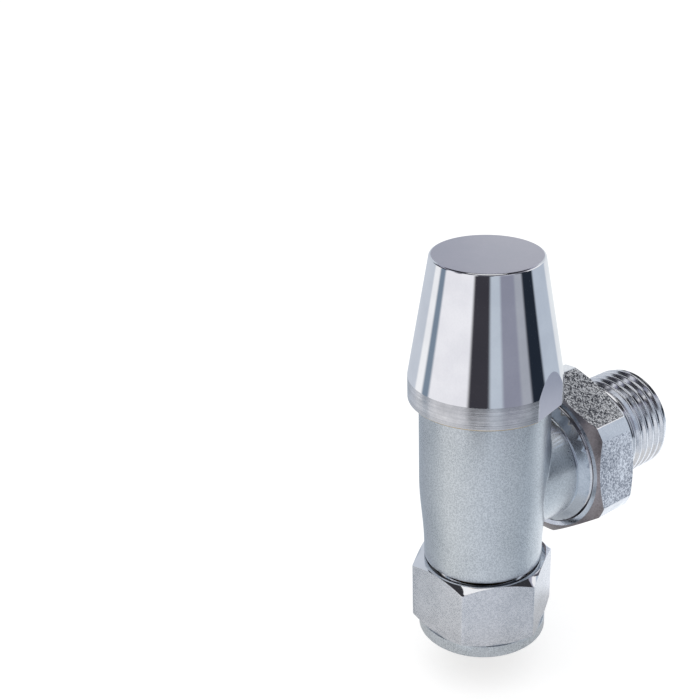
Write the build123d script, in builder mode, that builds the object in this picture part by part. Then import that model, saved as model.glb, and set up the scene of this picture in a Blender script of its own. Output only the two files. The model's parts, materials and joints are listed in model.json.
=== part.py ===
"""Angled lockshield valve, 15 mm compression inlet and G 1/2 radiator tail, in millimetres.

The origin is on the inlet pipe's axis at the foot of the compression nut.
+Z runs up the barrel to the cover, and +X runs out along the radiator tail.
Each size is set once: the standard pipes and threads drive the radii, and heights and
reaches are stacked from the foot upwards and from the barrel outwards.
"""

from build123d import *
import os
from math import radians, sqrt, tan

os.makedirs("parts", exist_ok=True)

# ---------------------------------------------------------------- clearances
thread_gap = 0.05  # radial, between a male and a female thread's cylinders
fit_gap = 0.03  # radial, round a seal or a turned sliding fit
face_gap = 0.05  # between two flat faces that part or turn
edge_break = 0.3  # small chamfer on turned edges
thread_chamfer = 0.8  # at the open end of a large thread

# ------------------------------------------------- standard pipes and threads
pipe_radius = 7.5  # 15 mm copper pipe
inlet_thread_wall = 1.88  # from the olive's widest radius to the inlet thread's crest
union_thread_radius = 13.22  # G 3/4, male crest
tail_thread_radius = 10.48  # G 1/2, male crest
bonnet_thread_radius = 9.0  # M18 in the body's top
spindle_thread_radius = 3.5  # M7 that lifts the plug

# ---------------------------------------------------------- compression inlet
nut_height = 15.84
nut_wall = 1.72  # from the thread's crest to the nut's flats
foot_ring_height = 2.6
foot_ring_step = 0.3  # foot ring's radius past the flats
spigot_length = 9.39  # below the barrel's lower edge
olive_length = 6.6
olive_reach = 3.4  # how far the olive stands below the body's mouth
olive_end_wall = 0.35
olive_mid_wall = 1.1
olive_seat_rise = 1.0  # plain pipe hole of the nut stops this far below the olive
shelf_drop = 1.2  # from the body's mouth down to the flat inside the nut
cone_gap = 0.1  # between the olive and the two cones that close on it
socket_gap = 0.05  # radial, round the pipe in the body
undercut_depth = 1.0

# ------------------------------------------------------------------ body
barrel_foot_lift = 0.35  # gap between the nut's top and the barrel's lower edge
barrel_foot_step = 0.97  # barrel's lower radius past the inlet thread
barrel_shoulder = 1.15  # barrel's upper radius past the land
outlet_rise = 15.41  # from the nut's top to the outlet's axis
barrel_rise = 18.75  # from the outlet's axis to the lower edge of the cover
taper_drop = 12.75  # the barrel's taper starts this far below the outlet's axis
taper_lift = 1.75  # and ends this far above it
seat_ring_thickness = 0.5
seat_ring_overhang = 0.6
land_rise = 2.2  # plain land above the barrel's top that the cover's seal grips
land_step = 0.2  # land radius above the thread's
top_spigot = 7.0  # from the cover's lower edge to the body's top
top_wall = 2.0  # between the bonnet's thread and the cover's thread
chamber_step = 0.4  # chamber radius below the bonnet thread's
chamber_drop = 0.15  # chamber floor below the outlet bore
inlet_way_radius = 6.0
socket_floor = 3.6  # from the pipe's stop to the chamber floor
seat_bore_radius = 4.5
seat_rise = 1.0
seat_lip = 1.1
seat_throat = 2.0  # height of the taper below the seat

# ------------------------------------------------------------ outlet and union
outlet_bore = 6.5
boss_radius = 11.4
boss_reach = 1.65  # boss beyond the barrel before it flares
flare_length = 1.5
flare_fillet = 0.8
boss_blend = 1.0  # fillet between the boss and the barrel
union_thread_length = 6.0
union_nut_setback = 0.5  # thread left showing between the flare and the nut
union_length = 10.3
union_wall = 1.78  # from the thread's crest to the nut's flats
union_corner_step = 1.6  # turned corners past the flats
union_face_step = 0.5  # turned faces within the flats
union_lip_gap = 0.15  # radial, round the tail's thread as the nut slides over it
union_corner_angle = 24.7
union_mouth = 0.3
nose_radius = 8.35
nose_length = 3.8
nose_gap = 0.1
nose_end_gap = 0.3
nose_chamfer = 0.6
collar_step = 0.37  # collar radius within the union thread
collar_thickness = 2.45
tail_shank_step = 0.53  # shank radius within the tail's thread
tail_shank_length = 7.5
tail_thread_length = 11.8
tail_thread_runout = 0.5
tail_end_chamfer = 0.9
tail_bore = 5.9
tail_key_flats = 12.0
tail_key_depth = 9.0

# ------------------------------------------------------------------ headwork
bonnet_clear = 3.25  # from the outlet bore up to the bonnet's lower end
bonnet_skirt_gap = 0.3
bonnet_thread_length = 9.8
bonnet_flange = 1.2
bonnet_flange_step = 1.1  # flange radius within the cover's thread, so the cover lifts over it
bonnet_hex_step = 1.4  # flats within the flange
bonnet_hex_height = 3.5
neck_length = 4.5
neck_wall = 1.4
packing_wall = 1.4
packing_rise = 1.8  # packing chamber's floor above the flange
packing_length = 4.2
follower_length = 2.65
gland_wall = 1.2
gland_lip = 1.3
gland_clear = 0.7
gland_hole_gap = 0.15
guide_step = 0.3  # guide's flats beyond the spindle's collar
guide_gap = 0.1
journal_step = 0.5  # journal radius past the spindle's thread
journal_end = 0.4  # journal stops this far below the packing
thrust_drop = 5.25  # thrust shoulder below the body's top
thrust_washer_thickness = 0.5
collar_height = 1.95
spindle_collar_step = 1.2
spindle_chamfer = 0.4
key_rise = 5.05  # spindle's end above the gland nut
spindle_square = 5.0
square_length = 3.7
circlip_rise = 0.5
circlip_thickness = 0.5
circlip_groove_depth = 0.5
circlip_width = 1.6
circlip_mouth = 50.0  # degrees left open

# ------------------------------------------------------------------ plug
plug_travel = 4.4
plug_end_gap = 0.3  # left between the open plug and the spindle's collar
plug_disc_radius = 6.6
plug_disc = 2.15
plug_thread_depth = 11.6
plug_thread_room = 0.5  # left under the spindle's end with the plug open
washer_radius = 6.2
washer_thickness = 2.5
screw_radius = 1.5
screw_head_radius = 2.9
screw_head = 1.3
screw_length = 6.4
screw_slot = 0.7

# ------------------------------------------------------------------ cover
band_overhang = 2.05  # band radius past the barrel's
band_height = 4.6
cone_top_radius = 10.4
cover_wall = 1.75
cover_headroom = 2.6  # over the spindle's end
cover_roof = 2.0
cover_edge = 0.5
cover_flat_depth = 0.65
cover_flat_angle = -76.0
cover_groove_rise = 0.9
room_step = 1.3  # rise of the slope from the cover's thread into its room

# ------------------------------------------------------------------ seals
seal_section = 0.6  # radius of the spindle seals' section
cover_seal_section = 0.5
bonnet_seal_section = 0.5
tail_seal_section = 0.65
seal_side = 0.1  # axial room of a seal in its groove
seal_places = (0.3, 0.65)  # shares of the journal's length

# --------------------------------------------------- heights, foot to cover
barrel_bottom = nut_height + barrel_foot_lift
spigot_bottom = barrel_bottom - spigot_length
olive_bottom = spigot_bottom - olive_reach
olive_middle = olive_bottom + olive_length / 2
nut_lip = olive_bottom - olive_seat_rise
nut_shelf = spigot_bottom - shelf_drop
outlet_height = nut_height + outlet_rise
taper_start = outlet_height - taper_drop
taper_end = outlet_height + taper_lift
chamber_floor = outlet_height - outlet_bore - chamber_drop
socket_stop = chamber_floor - socket_floor
seat_height = chamber_floor + seat_rise
washer_bottom = seat_height + face_gap
plug_bottom = washer_bottom + washer_thickness
rim_height = outlet_height + barrel_rise
barrel_top = rim_height - seat_ring_thickness - face_gap
land_top = barrel_top + land_rise
body_top = rim_height + top_spigot
bonnet_bottom = outlet_height + outlet_bore + bonnet_clear
bonnet_thread_start = body_top - bonnet_thread_length
thrust_shoulder = body_top - thrust_drop
journal_bottom = thrust_shoulder - 2 * face_gap - thrust_washer_thickness
collar_bottom = journal_bottom - collar_height
plug_top = collar_bottom - plug_travel - plug_end_gap
spindle_end = plug_top - plug_thread_depth + plug_travel + plug_thread_room
flange_top = body_top + bonnet_flange
hex_top = flange_top + bonnet_hex_height
neck_top = hex_top + neck_length
packing_floor = flange_top + packing_rise
journal_top = packing_floor - journal_end
spindle_seal_heights = [journal_bottom + (journal_top - journal_bottom) * share for share in seal_places]
follower_bottom = packing_floor + packing_length + face_gap
follower_top = follower_bottom + follower_length
gland_bottom = hex_top + gland_clear
gland_top = follower_top + face_gap + gland_lip
circlip_height = gland_top + circlip_rise
spindle_top = gland_top + key_rise
band_top = rim_height + band_height
cover_groove_bottom = rim_height + cover_groove_rise
roof_height = spindle_top + cover_headroom
cover_height = roof_height + cover_roof

# --------------------------------------------------- radii, pipe to cover
socket_radius = pipe_radius + socket_gap
olive_end_radius = pipe_radius + olive_end_wall
olive_mid_radius = pipe_radius + olive_mid_wall
inlet_thread_radius = olive_mid_radius + inlet_thread_wall
olive_slope = (olive_mid_radius - olive_end_radius) / (olive_length / 2)
mouth_radius = olive_mid_radius + cone_gap
cone_run = (mouth_radius - socket_radius) / olive_slope
nut_hole_radius = mouth_radius - (olive_middle - nut_lip) * olive_slope
nut_shelf_radius = mouth_radius - (olive_middle - nut_shelf) * olive_slope
nut_across_flats = 2 * (inlet_thread_radius + nut_wall)
foot_ring_radius = nut_across_flats / 2 + foot_ring_step
cover_thread_radius = bonnet_thread_radius + top_wall
land_radius = cover_thread_radius + land_step
barrel_radius = land_radius + barrel_shoulder
barrel_foot_radius = inlet_thread_radius + barrel_foot_step
chamber_radius = bonnet_thread_radius - chamber_step
bonnet_skirt_radius = chamber_radius - bonnet_skirt_gap
seal_counterbore = 2 * (bonnet_seal_section + seal_side)
seal_bore_radius = bonnet_skirt_radius + 2 * (bonnet_seal_section + fit_gap)
bonnet_flange_radius = cover_thread_radius - bonnet_flange_step
bonnet_flats = 2 * (bonnet_flange_radius - bonnet_hex_step)
journal_radius = spindle_thread_radius + journal_step
spindle_collar_radius = journal_radius + spindle_collar_step
guide_flats = 2 * (spindle_collar_radius + guide_step)
seal_groove_width = 2 * (seal_section + seal_side)
seal_groove_radius = journal_radius - 2 * seal_section - fit_gap
packing_radius = spindle_thread_radius + packing_wall
gland_thread_radius = packing_radius + neck_wall
gland_flats = 2 * (gland_thread_radius + gland_wall)
circlip_inner_radius = spindle_thread_radius - circlip_groove_depth + fit_gap
band_radius = barrel_radius + band_overhang
cone_slope = (band_radius - cone_top_radius) / (cover_height - band_top)
cover_flat_distance = band_radius - cover_flat_depth
cover_groove_width = 2 * (cover_seal_section + seal_side)
cover_groove_radius = land_radius + 2 * (cover_seal_section + fit_gap)

# --------------------------------------------------- reaches, barrel to tail
flare_start = barrel_radius + boss_reach
flare_end = flare_start + flare_length
body_face = flare_end + union_thread_length
union_start = flare_end + union_nut_setback
union_end = union_start + union_length
union_across_flats = 2 * (union_thread_radius + union_wall)
union_corner_radius = union_across_flats / 2 + union_corner_step
union_face_radius = union_across_flats / 2 - union_face_step
collar_start = body_face + face_gap
collar_end = collar_start + collar_thickness
collar_radius = union_thread_radius - collar_step
nose_start = collar_start - nose_length
nose_bore_radius = nose_radius + nose_gap
tail_groove_width = 2 * (tail_seal_section + seal_side)
tail_groove_start = nose_start + (nose_length - tail_groove_width) / 2
tail_groove_depth = 2 * (tail_seal_section + fit_gap) - nose_gap
tail_ring_radius = nose_radius - tail_groove_depth + fit_gap + tail_seal_section
tail_shank_radius = tail_thread_radius - tail_shank_step
tail_thread_start = collar_end + tail_shank_length
tail_end = tail_thread_start + tail_thread_length
outlet_axis = Axis((0, 0, outlet_height), (1, 0, 0))
outlet_section = Plane((0, 0, outlet_height), x_dir=(1, 0, 0), z_dir=(0, -1, 0))

def across_outlet(distance):
    """Plane square to the outlet's axis, with its x along +Y and its y along +Z."""
    return Plane((distance, 0, outlet_height), x_dir=(0, 1, 0), z_dir=(1, 0, 0))


def room_radius(height):
    """Inside radius of the cover's cone, one wall in from the outside."""
    return band_radius - (height - band_top) * cone_slope - cover_wall


def corner(across_flats):
    """Radius to the corners of a hexagon."""
    return across_flats / sqrt(3)


def chamfered(height, face_radius, crest_radius, bottom=True, top=True):
    """Outline, as radius and height, that turns the corners off a bar of this height."""
    drop = (crest_radius - face_radius) * tan(radians(30))
    low = [(0, 0), (face_radius, 0), (crest_radius, drop)] if bottom else [(0, 0), (crest_radius, 0)]
    high = [(crest_radius, height - drop), (face_radius, height)] if top else [(crest_radius, height)]
    return low + high + [(0, height), (0, 0)]


# ------------------------------------------------------------------ valve_body
with BuildPart() as valve_body:
    # spigot, barrel, land and top thread, turned as one
    with BuildSketch(Plane.XZ):
        with BuildLine():
            Polyline(
                (barrel_foot_radius, taper_start),
                (barrel_foot_radius, barrel_bottom + edge_break),
                (barrel_foot_radius - edge_break, barrel_bottom),
                (inlet_thread_radius - undercut_depth, barrel_bottom),
                (inlet_thread_radius - undercut_depth, barrel_bottom - 1.6 * undercut_depth),
                (inlet_thread_radius, barrel_bottom - 2.6 * undercut_depth),
                (inlet_thread_radius, spigot_bottom + thread_chamfer),
                (inlet_thread_radius - thread_chamfer, spigot_bottom),
                (0, spigot_bottom),
                (0, body_top),
                (cover_thread_radius - thread_chamfer, body_top),
                (cover_thread_radius, body_top - thread_chamfer),
                (cover_thread_radius, land_top + land_step),
                (land_radius, land_top),
                (land_radius, barrel_top),
                (barrel_radius - edge_break, barrel_top),
                (barrel_radius, barrel_top - edge_break),
                (barrel_radius, taper_end),
            )
            Spline(
                (barrel_radius, taper_end),
                (barrel_foot_radius, taper_start),
                tangents=[(0, -1), (0, -1)],
            )
        make_face()
    revolve(axis=Axis.Z)
    barrel_edges = valve_body.edges()
    # outlet boss, flaring into the union's threaded end
    with BuildSketch(outlet_section) as boss_outline:
        with BuildLine():
            Polyline(
                (0, 0),
                (0, boss_radius),
                (flare_start, boss_radius),
                (flare_end, union_thread_radius),
                (body_face - thread_chamfer, union_thread_radius),
                (body_face, union_thread_radius - thread_chamfer),
                (body_face, 0),
                (0, 0),
            )
        make_face()
        flare_corner = boss_outline.vertices().sort_by_distance((flare_start, boss_radius))[0]
        fillet(flare_corner, radius=flare_fillet)
    revolve(axis=outlet_axis)
    joint_line = [
        edge
        for edge in valve_body.edges() - barrel_edges
        if edge.geom_type == GeomType.BSPLINE and edge.center().X < flare_start
    ]
    fillet(joint_line, radius=boss_blend)
    # waterways: pipe socket, seat, chamber and bonnet thread
    with BuildSketch(Plane.XZ):
        with BuildLine():
            Polyline(
                (0, spigot_bottom),
                (mouth_radius, spigot_bottom),
                (socket_radius, spigot_bottom + cone_run),
                (socket_radius, socket_stop),
                (inlet_way_radius, socket_stop),
                (inlet_way_radius, chamber_floor - seat_throat),
                (seat_bore_radius, chamber_floor - seat_throat / 4),
                (seat_bore_radius, seat_height),
                (seat_bore_radius + seat_lip, seat_height),
                (seat_bore_radius + seat_lip + edge_break, chamber_floor),
                (chamber_radius, chamber_floor),
                (chamber_radius, bonnet_thread_start - 2 * edge_break),
                (bonnet_thread_radius + thread_gap, bonnet_thread_start),
                (bonnet_thread_radius + thread_gap, body_top - seal_counterbore),
                (seal_bore_radius, body_top - seal_counterbore),
                (seal_bore_radius, body_top),
                (0, body_top),
                (0, spigot_bottom),
            )
        make_face()
    revolve(axis=Axis.Z, mode=Mode.SUBTRACT)
    with BuildSketch(outlet_section):
        with BuildLine():
            Polyline(
                (0, 0),
                (0, outlet_bore),
                (nose_start - nose_end_gap, outlet_bore),
                (nose_start - nose_end_gap, nose_bore_radius),
                (body_face - nose_chamfer, nose_bore_radius),
                (body_face, nose_bore_radius + nose_chamfer),
                (body_face, 0),
                (0, 0),
            )
        make_face()
    revolve(axis=outlet_axis, mode=Mode.SUBTRACT)
valve_body.part.label = "valve_body"
export_step(valve_body.part, "parts/valve_body.step")

# ------------------------------------------------------------ compression_nut
with BuildPart() as compression_nut:
    # foot ring below, hexagon above with its corners turned off at both ends
    with BuildSketch(Plane.XY.offset(foot_ring_height)):
        RegularPolygon(corner(nut_across_flats), 6, rotation=30)
    extrude(amount=nut_height - foot_ring_height)
    with BuildSketch(Plane.XZ.shift_origin((0, 0, foot_ring_height))):
        with BuildLine():
            hex_height = nut_height - foot_ring_height
            Polyline(*chamfered(hex_height, nut_across_flats / 2, corner(nut_across_flats)))
        make_face()
    revolve(axis=Axis.Z, mode=Mode.INTERSECT)
    with BuildSketch(Plane.XZ):
        with BuildLine():
            Polyline(
                (0, 0),
                (foot_ring_radius - edge_break, 0),
                (foot_ring_radius, edge_break),
                (foot_ring_radius, foot_ring_height),
                (0, foot_ring_height),
                (0, 0),
            )
        make_face()
    revolve(axis=Axis.Z)
    # pipe hole, olive cone, shelf and thread
    with BuildSketch(Plane.XZ):
        with BuildLine():
            Polyline(
                (0, 0),
                (nut_hole_radius, 0),
                (nut_hole_radius, nut_lip),
                (nut_shelf_radius, nut_shelf),
                (inlet_thread_radius + thread_gap, nut_shelf),
                (inlet_thread_radius + thread_gap, nut_height - thread_chamfer),
                (inlet_thread_radius + thread_gap + thread_chamfer, nut_height),
                (0, nut_height),
                (0, 0),
            )
        make_face()
    revolve(axis=Axis.Z, mode=Mode.SUBTRACT)
compression_nut.part.label = "compression_nut"
export_step(compression_nut.part, "parts/compression_nut.step")

# ---------------------------------------------------------- compression_olive
with BuildPart() as compression_olive:
    with BuildSketch(Plane.XZ):
        with BuildLine():
            Polyline(
                (socket_radius, olive_bottom),
                (olive_end_radius, olive_bottom),
                (olive_mid_radius, olive_middle),
                (olive_end_radius, olive_bottom + olive_length),
                (socket_radius, olive_bottom + olive_length),
                (socket_radius, olive_bottom),
            )
        make_face()
    revolve(axis=Axis.Z)
compression_olive.part.label = "compression_olive"
export_step(compression_olive.part, "parts/compression_olive.step")

# ------------------------------------------------------------------ union_nut
with BuildPart() as union_nut:
    with BuildSketch(across_outlet(union_start)):
        RegularPolygon(corner(union_across_flats), 6, rotation=union_corner_angle)
    extrude(amount=union_length)
    with BuildSketch(outlet_section.shift_origin((union_start, 0, outlet_height))):
        with BuildLine():
            turned_outline = chamfered(union_length, union_face_radius, union_corner_radius)
            Polyline(*[(height, radius) for radius, height in turned_outline])
        make_face()
    revolve(axis=outlet_axis, mode=Mode.INTERSECT)
    # thread open towards the body, and a lip that catches the tail's collar
    with BuildSketch(outlet_section):
        with BuildLine():
            Polyline(
                (union_start, 0),
                (union_start, union_thread_radius + thread_gap + union_mouth),
                (union_start + union_mouth, union_thread_radius + thread_gap),
                (collar_end + face_gap, union_thread_radius + thread_gap),
                (collar_end + face_gap, tail_thread_radius + union_lip_gap),
                (union_end, tail_thread_radius + union_lip_gap),
                (union_end, 0),
                (union_start, 0),
            )
        make_face()
    revolve(axis=outlet_axis, mode=Mode.SUBTRACT)
union_nut.part.label = "union_nut"
export_step(union_nut.part, "parts/union_nut.step")

# ------------------------------------------------------------------ tail_pipe
with BuildPart() as tail_pipe:
    with BuildSketch(outlet_section):
        with BuildLine():
            Polyline(
                (nose_start, tail_bore),
                (nose_start, nose_radius - edge_break),
                (nose_start + edge_break, nose_radius),
                (tail_groove_start, nose_radius),
                (tail_groove_start, nose_radius - tail_groove_depth),
                (tail_groove_start + tail_groove_width, nose_radius - tail_groove_depth),
                (tail_groove_start + tail_groove_width, nose_radius),
                (collar_start, nose_radius),
                (collar_start, collar_radius - edge_break),
                (collar_start + edge_break, collar_radius),
                (collar_end, collar_radius),
                (collar_end, tail_shank_radius),
                (tail_thread_start, tail_shank_radius),
                (tail_thread_start + tail_thread_runout, tail_thread_radius),
                (tail_end - tail_end_chamfer, tail_thread_radius),
                (tail_end, tail_thread_radius - tail_end_chamfer),
                (tail_end, tail_bore),
                (nose_start, tail_bore),
            )
        make_face()
    revolve(axis=outlet_axis)
    # hexagon socket for the key that drives the tail in
    with BuildSketch(across_outlet(tail_end)):
        RegularPolygon(corner(tail_key_flats), 6)
    extrude(amount=-tail_key_depth, mode=Mode.SUBTRACT)
tail_pipe.part.label = "tail_pipe"
export_step(tail_pipe.part, "parts/tail_pipe.step")

# ---------------------------------------------------------------- tail_o_ring
with BuildPart() as tail_o_ring:
    with BuildSketch(outlet_section):
        with Locations((tail_groove_start + tail_groove_width / 2, tail_ring_radius)):
            Circle(tail_seal_section)
    revolve(axis=outlet_axis)
tail_o_ring.part.label = "tail_o_ring"
export_step(tail_o_ring.part, "parts/tail_o_ring.step")

# --------------------------------------------------------------------- bonnet
with BuildPart() as bonnet:
    # skirt, thread, flange and packing neck
    with BuildSketch(Plane.XZ):
        with BuildLine():
            Polyline(
                (0, bonnet_bottom),
                (bonnet_skirt_radius - edge_break, bonnet_bottom),
                (bonnet_skirt_radius, bonnet_bottom + edge_break),
                (bonnet_skirt_radius, bonnet_thread_start),
                (bonnet_thread_radius, bonnet_thread_start + edge_break),
                (bonnet_thread_radius, body_top - seal_counterbore),
                (bonnet_skirt_radius, body_top - seal_counterbore),
                (bonnet_skirt_radius, body_top),
                (bonnet_flange_radius, body_top),
                (bonnet_flange_radius, flange_top),
                (bonnet_flats / 2, flange_top),
                (bonnet_flats / 2, hex_top),
                (gland_thread_radius, hex_top),
                (gland_thread_radius, neck_top - edge_break),
                (gland_thread_radius - edge_break, neck_top),
                (0, neck_top),
                (0, bonnet_bottom),
            )
        make_face()
    revolve(axis=Axis.Z)
    with BuildSketch(Plane.XY.offset(flange_top)):
        RegularPolygon(corner(bonnet_flats), 6)
        Circle(bonnet_flange_radius - edge_break, mode=Mode.INTERSECT)
    extrude(amount=bonnet_hex_height)
    # hexagon guide for the plug, journal bore and packing chamber
    with BuildSketch(Plane.XY.offset(bonnet_bottom)):
        RegularPolygon(corner(guide_flats), 6)
    extrude(amount=thrust_shoulder - bonnet_bottom, mode=Mode.SUBTRACT)
    with BuildSketch(Plane.XZ):
        with BuildLine():
            Polyline(
                (0, bonnet_bottom),
                (journal_radius + fit_gap, bonnet_bottom),
                (journal_radius + fit_gap, packing_floor),
                (packing_radius, packing_floor),
                (packing_radius, neck_top),
                (0, neck_top),
                (0, bonnet_bottom),
            )
        make_face()
    revolve(axis=Axis.Z, mode=Mode.SUBTRACT)
bonnet.part.label = "bonnet"
export_step(bonnet.part, "parts/bonnet.step")

# -------------------------------------------------------------- bonnet_o_ring
with BuildPart() as bonnet_o_ring:
    with BuildSketch(Plane.XZ):
        bonnet_ring_radius = bonnet_skirt_radius + fit_gap + bonnet_seal_section
        with Locations((bonnet_ring_radius, body_top - seal_counterbore / 2)):
            Circle(bonnet_seal_section)
    revolve(axis=Axis.Z)
bonnet_o_ring.part.label = "bonnet_o_ring"
export_step(bonnet_o_ring.part, "parts/bonnet_o_ring.step")

# --------------------------------------------------------------- thrust_washer
with BuildPart() as thrust_washer:
    with BuildSketch(Plane.XY.offset(thrust_shoulder - face_gap - thrust_washer_thickness)):
        Circle(spindle_collar_radius)
        Circle(journal_radius + fit_gap, mode=Mode.SUBTRACT)
    extrude(amount=thrust_washer_thickness)
thrust_washer.part.label = "thrust_washer"
export_step(thrust_washer.part, "parts/thrust_washer.step")

# -------------------------------------------------------------- gland_packing
with BuildPart() as gland_packing:
    with BuildSketch(Plane.XY.offset(packing_floor + face_gap)):
        Circle(packing_radius - fit_gap)
        Circle(spindle_thread_radius + fit_gap, mode=Mode.SUBTRACT)
    extrude(amount=packing_length - face_gap)
gland_packing.part.label = "gland_packing"
export_step(gland_packing.part, "parts/gland_packing.step")

# ----------------------------------------------------------- packing_follower
with BuildPart() as packing_follower:
    with BuildSketch(Plane.XY.offset(follower_bottom)):
        Circle(packing_radius - fit_gap)
        Circle(spindle_thread_radius + fit_gap, mode=Mode.SUBTRACT)
    extrude(amount=follower_length)
packing_follower.part.label = "packing_follower"
export_step(packing_follower.part, "parts/packing_follower.step")

# ------------------------------------------------------------------ gland_nut
with BuildPart() as gland_nut:
    with BuildSketch(Plane.XY.offset(gland_bottom)):
        RegularPolygon(corner(gland_flats), 6, rotation=30)
    extrude(amount=gland_top - gland_bottom)
    with BuildSketch(Plane.XZ.shift_origin((0, 0, gland_bottom))):
        with BuildLine():
            gland_height = gland_top - gland_bottom
            Polyline(*chamfered(gland_height, gland_flats / 2, corner(gland_flats), bottom=False))
        make_face()
    revolve(axis=Axis.Z, mode=Mode.INTERSECT)
    with BuildSketch(Plane.XY.offset(gland_bottom)):
        Circle(gland_thread_radius + thread_gap)
    extrude(amount=follower_top + face_gap - gland_bottom, mode=Mode.SUBTRACT)
    with BuildSketch(Plane.XY.offset(gland_bottom)):
        Circle(spindle_thread_radius + gland_hole_gap)
    extrude(amount=gland_top - gland_bottom, mode=Mode.SUBTRACT)
gland_nut.part.label = "gland_nut"
export_step(gland_nut.part, "parts/gland_nut.step")

# -------------------------------------------------------------------- spindle
with BuildPart() as spindle:
    with BuildSketch(Plane.XZ):
        with BuildLine():
            Polyline(
                (0, spindle_end),
                (spindle_thread_radius - spindle_chamfer, spindle_end),
                (spindle_thread_radius, spindle_end + spindle_chamfer),
                (spindle_thread_radius, collar_bottom),
                (spindle_collar_radius, collar_bottom),
                (spindle_collar_radius, collar_bottom + collar_height),
                (journal_radius, collar_bottom + collar_height),
                (journal_radius, journal_top),
                (spindle_thread_radius, journal_top),
                (spindle_thread_radius, spindle_top - spindle_chamfer),
                (spindle_thread_radius - spindle_chamfer, spindle_top),
                (0, spindle_top),
                (0, spindle_end),
            )
        make_face()
    revolve(axis=Axis.Z)
    # seal grooves on the journal and the circlip's groove above the gland nut
    for height in spindle_seal_heights:
        with BuildSketch(Plane.XY.offset(height - seal_groove_width / 2)):
            Circle(journal_radius + 1)
            Circle(seal_groove_radius, mode=Mode.SUBTRACT)
        extrude(amount=seal_groove_width, mode=Mode.SUBTRACT)
    with BuildSketch(Plane.XY.offset(circlip_height - face_gap)):
        Circle(spindle_thread_radius + 1)
        Circle(spindle_thread_radius - circlip_groove_depth, mode=Mode.SUBTRACT)
    extrude(amount=circlip_thickness + 2 * face_gap, mode=Mode.SUBTRACT)
    # square for the lockshield key
    with BuildSketch(Plane.XY.offset(spindle_top - square_length)):
        Circle(spindle_thread_radius + 1)
        Rectangle(spindle_square, spindle_square, mode=Mode.SUBTRACT)
    extrude(amount=square_length, mode=Mode.SUBTRACT)
spindle.part.label = "spindle"
export_step(spindle.part, "parts/spindle.step")

# ------------------------------------------------------------- spindle_o_rings
with BuildPart() as spindle_o_rings:
    with BuildSketch(Plane.XZ):
        spindle_ring_radius = seal_groove_radius + fit_gap + seal_section
        with Locations(*[(spindle_ring_radius, height) for height in spindle_seal_heights]):
            Circle(seal_section)
    revolve(axis=Axis.Z)
spindle_o_rings.part.label = "spindle_o_rings"
export_step(spindle_o_rings.part, "parts/spindle_o_rings.step")

# -------------------------------------------------------------- spindle_circlip
with BuildPart() as spindle_circlip:
    with BuildSketch(Plane.XY.offset(circlip_height)):
        Circle(circlip_inner_radius + circlip_width)
        Circle(circlip_inner_radius, mode=Mode.SUBTRACT)
        with BuildLine():
            mouth_x = 2 * circlip_width + circlip_inner_radius
            mouth_y = mouth_x * tan(radians(circlip_mouth / 2))
            Polyline((0, 0), (mouth_x, -mouth_y), (mouth_x, mouth_y), (0, 0))
        make_face(mode=Mode.SUBTRACT)
    extrude(amount=circlip_thickness)
spindle_circlip.part.label = "spindle_circlip"
export_step(spindle_circlip.part, "parts/spindle_circlip.step")

# ----------------------------------------------------------------- valve_plug
with BuildPart() as valve_plug:
    with BuildSketch(Plane.XY.offset(plug_bottom)):
        Circle(plug_disc_radius)
    extrude(amount=plug_disc)
    with BuildSketch(Plane.XY.offset(plug_bottom)):
        RegularPolygon(corner(guide_flats - 2 * guide_gap), 6)
    extrude(amount=plug_top - plug_bottom)
    with BuildSketch(Plane.XY.offset(plug_top)):
        Circle(spindle_thread_radius + thread_gap)
    extrude(amount=-plug_thread_depth, mode=Mode.SUBTRACT)
    with BuildSketch(Plane.XY.offset(plug_bottom)):
        Circle(screw_radius + thread_gap)
    extrude(amount=screw_length - washer_thickness + face_gap, mode=Mode.SUBTRACT)
valve_plug.part.label = "valve_plug"
export_step(valve_plug.part, "parts/valve_plug.step")

# ---------------------------------------------------------------- seat_washer
with BuildPart() as seat_washer:
    with BuildSketch(Plane.XY.offset(washer_bottom)):
        Circle(washer_radius)
        Circle(screw_radius + thread_gap, mode=Mode.SUBTRACT)
    extrude(amount=washer_thickness)
seat_washer.part.label = "seat_washer"
export_step(seat_washer.part, "parts/seat_washer.step")

# ---------------------------------------------------------------- washer_screw
with BuildPart() as washer_screw:
    with BuildSketch(Plane.XY.offset(washer_bottom)):
        Circle(screw_head_radius)
    extrude(amount=-screw_head)
    with BuildSketch(Plane.XY.offset(washer_bottom)):
        Circle(screw_radius)
    extrude(amount=screw_length)
    with BuildSketch(Plane.XY.offset(washer_bottom - screw_head)):
        Rectangle(2 * screw_head_radius, screw_slot)
    extrude(amount=screw_head / 2, mode=Mode.SUBTRACT)
washer_screw.part.label = "washer_screw"
export_step(washer_screw.part, "parts/washer_screw.step")

# ------------------------------------------------------------- cover_seat_ring
with BuildPart() as cover_seat_ring:
    with BuildSketch(Plane.XY.offset(barrel_top)):
        Circle(barrel_radius + seat_ring_overhang)
        Circle(land_radius + thread_gap, mode=Mode.SUBTRACT)
    extrude(amount=seat_ring_thickness)
cover_seat_ring.part.label = "cover_seat_ring"
export_step(cover_seat_ring.part, "parts/cover_seat_ring.step")

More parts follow.
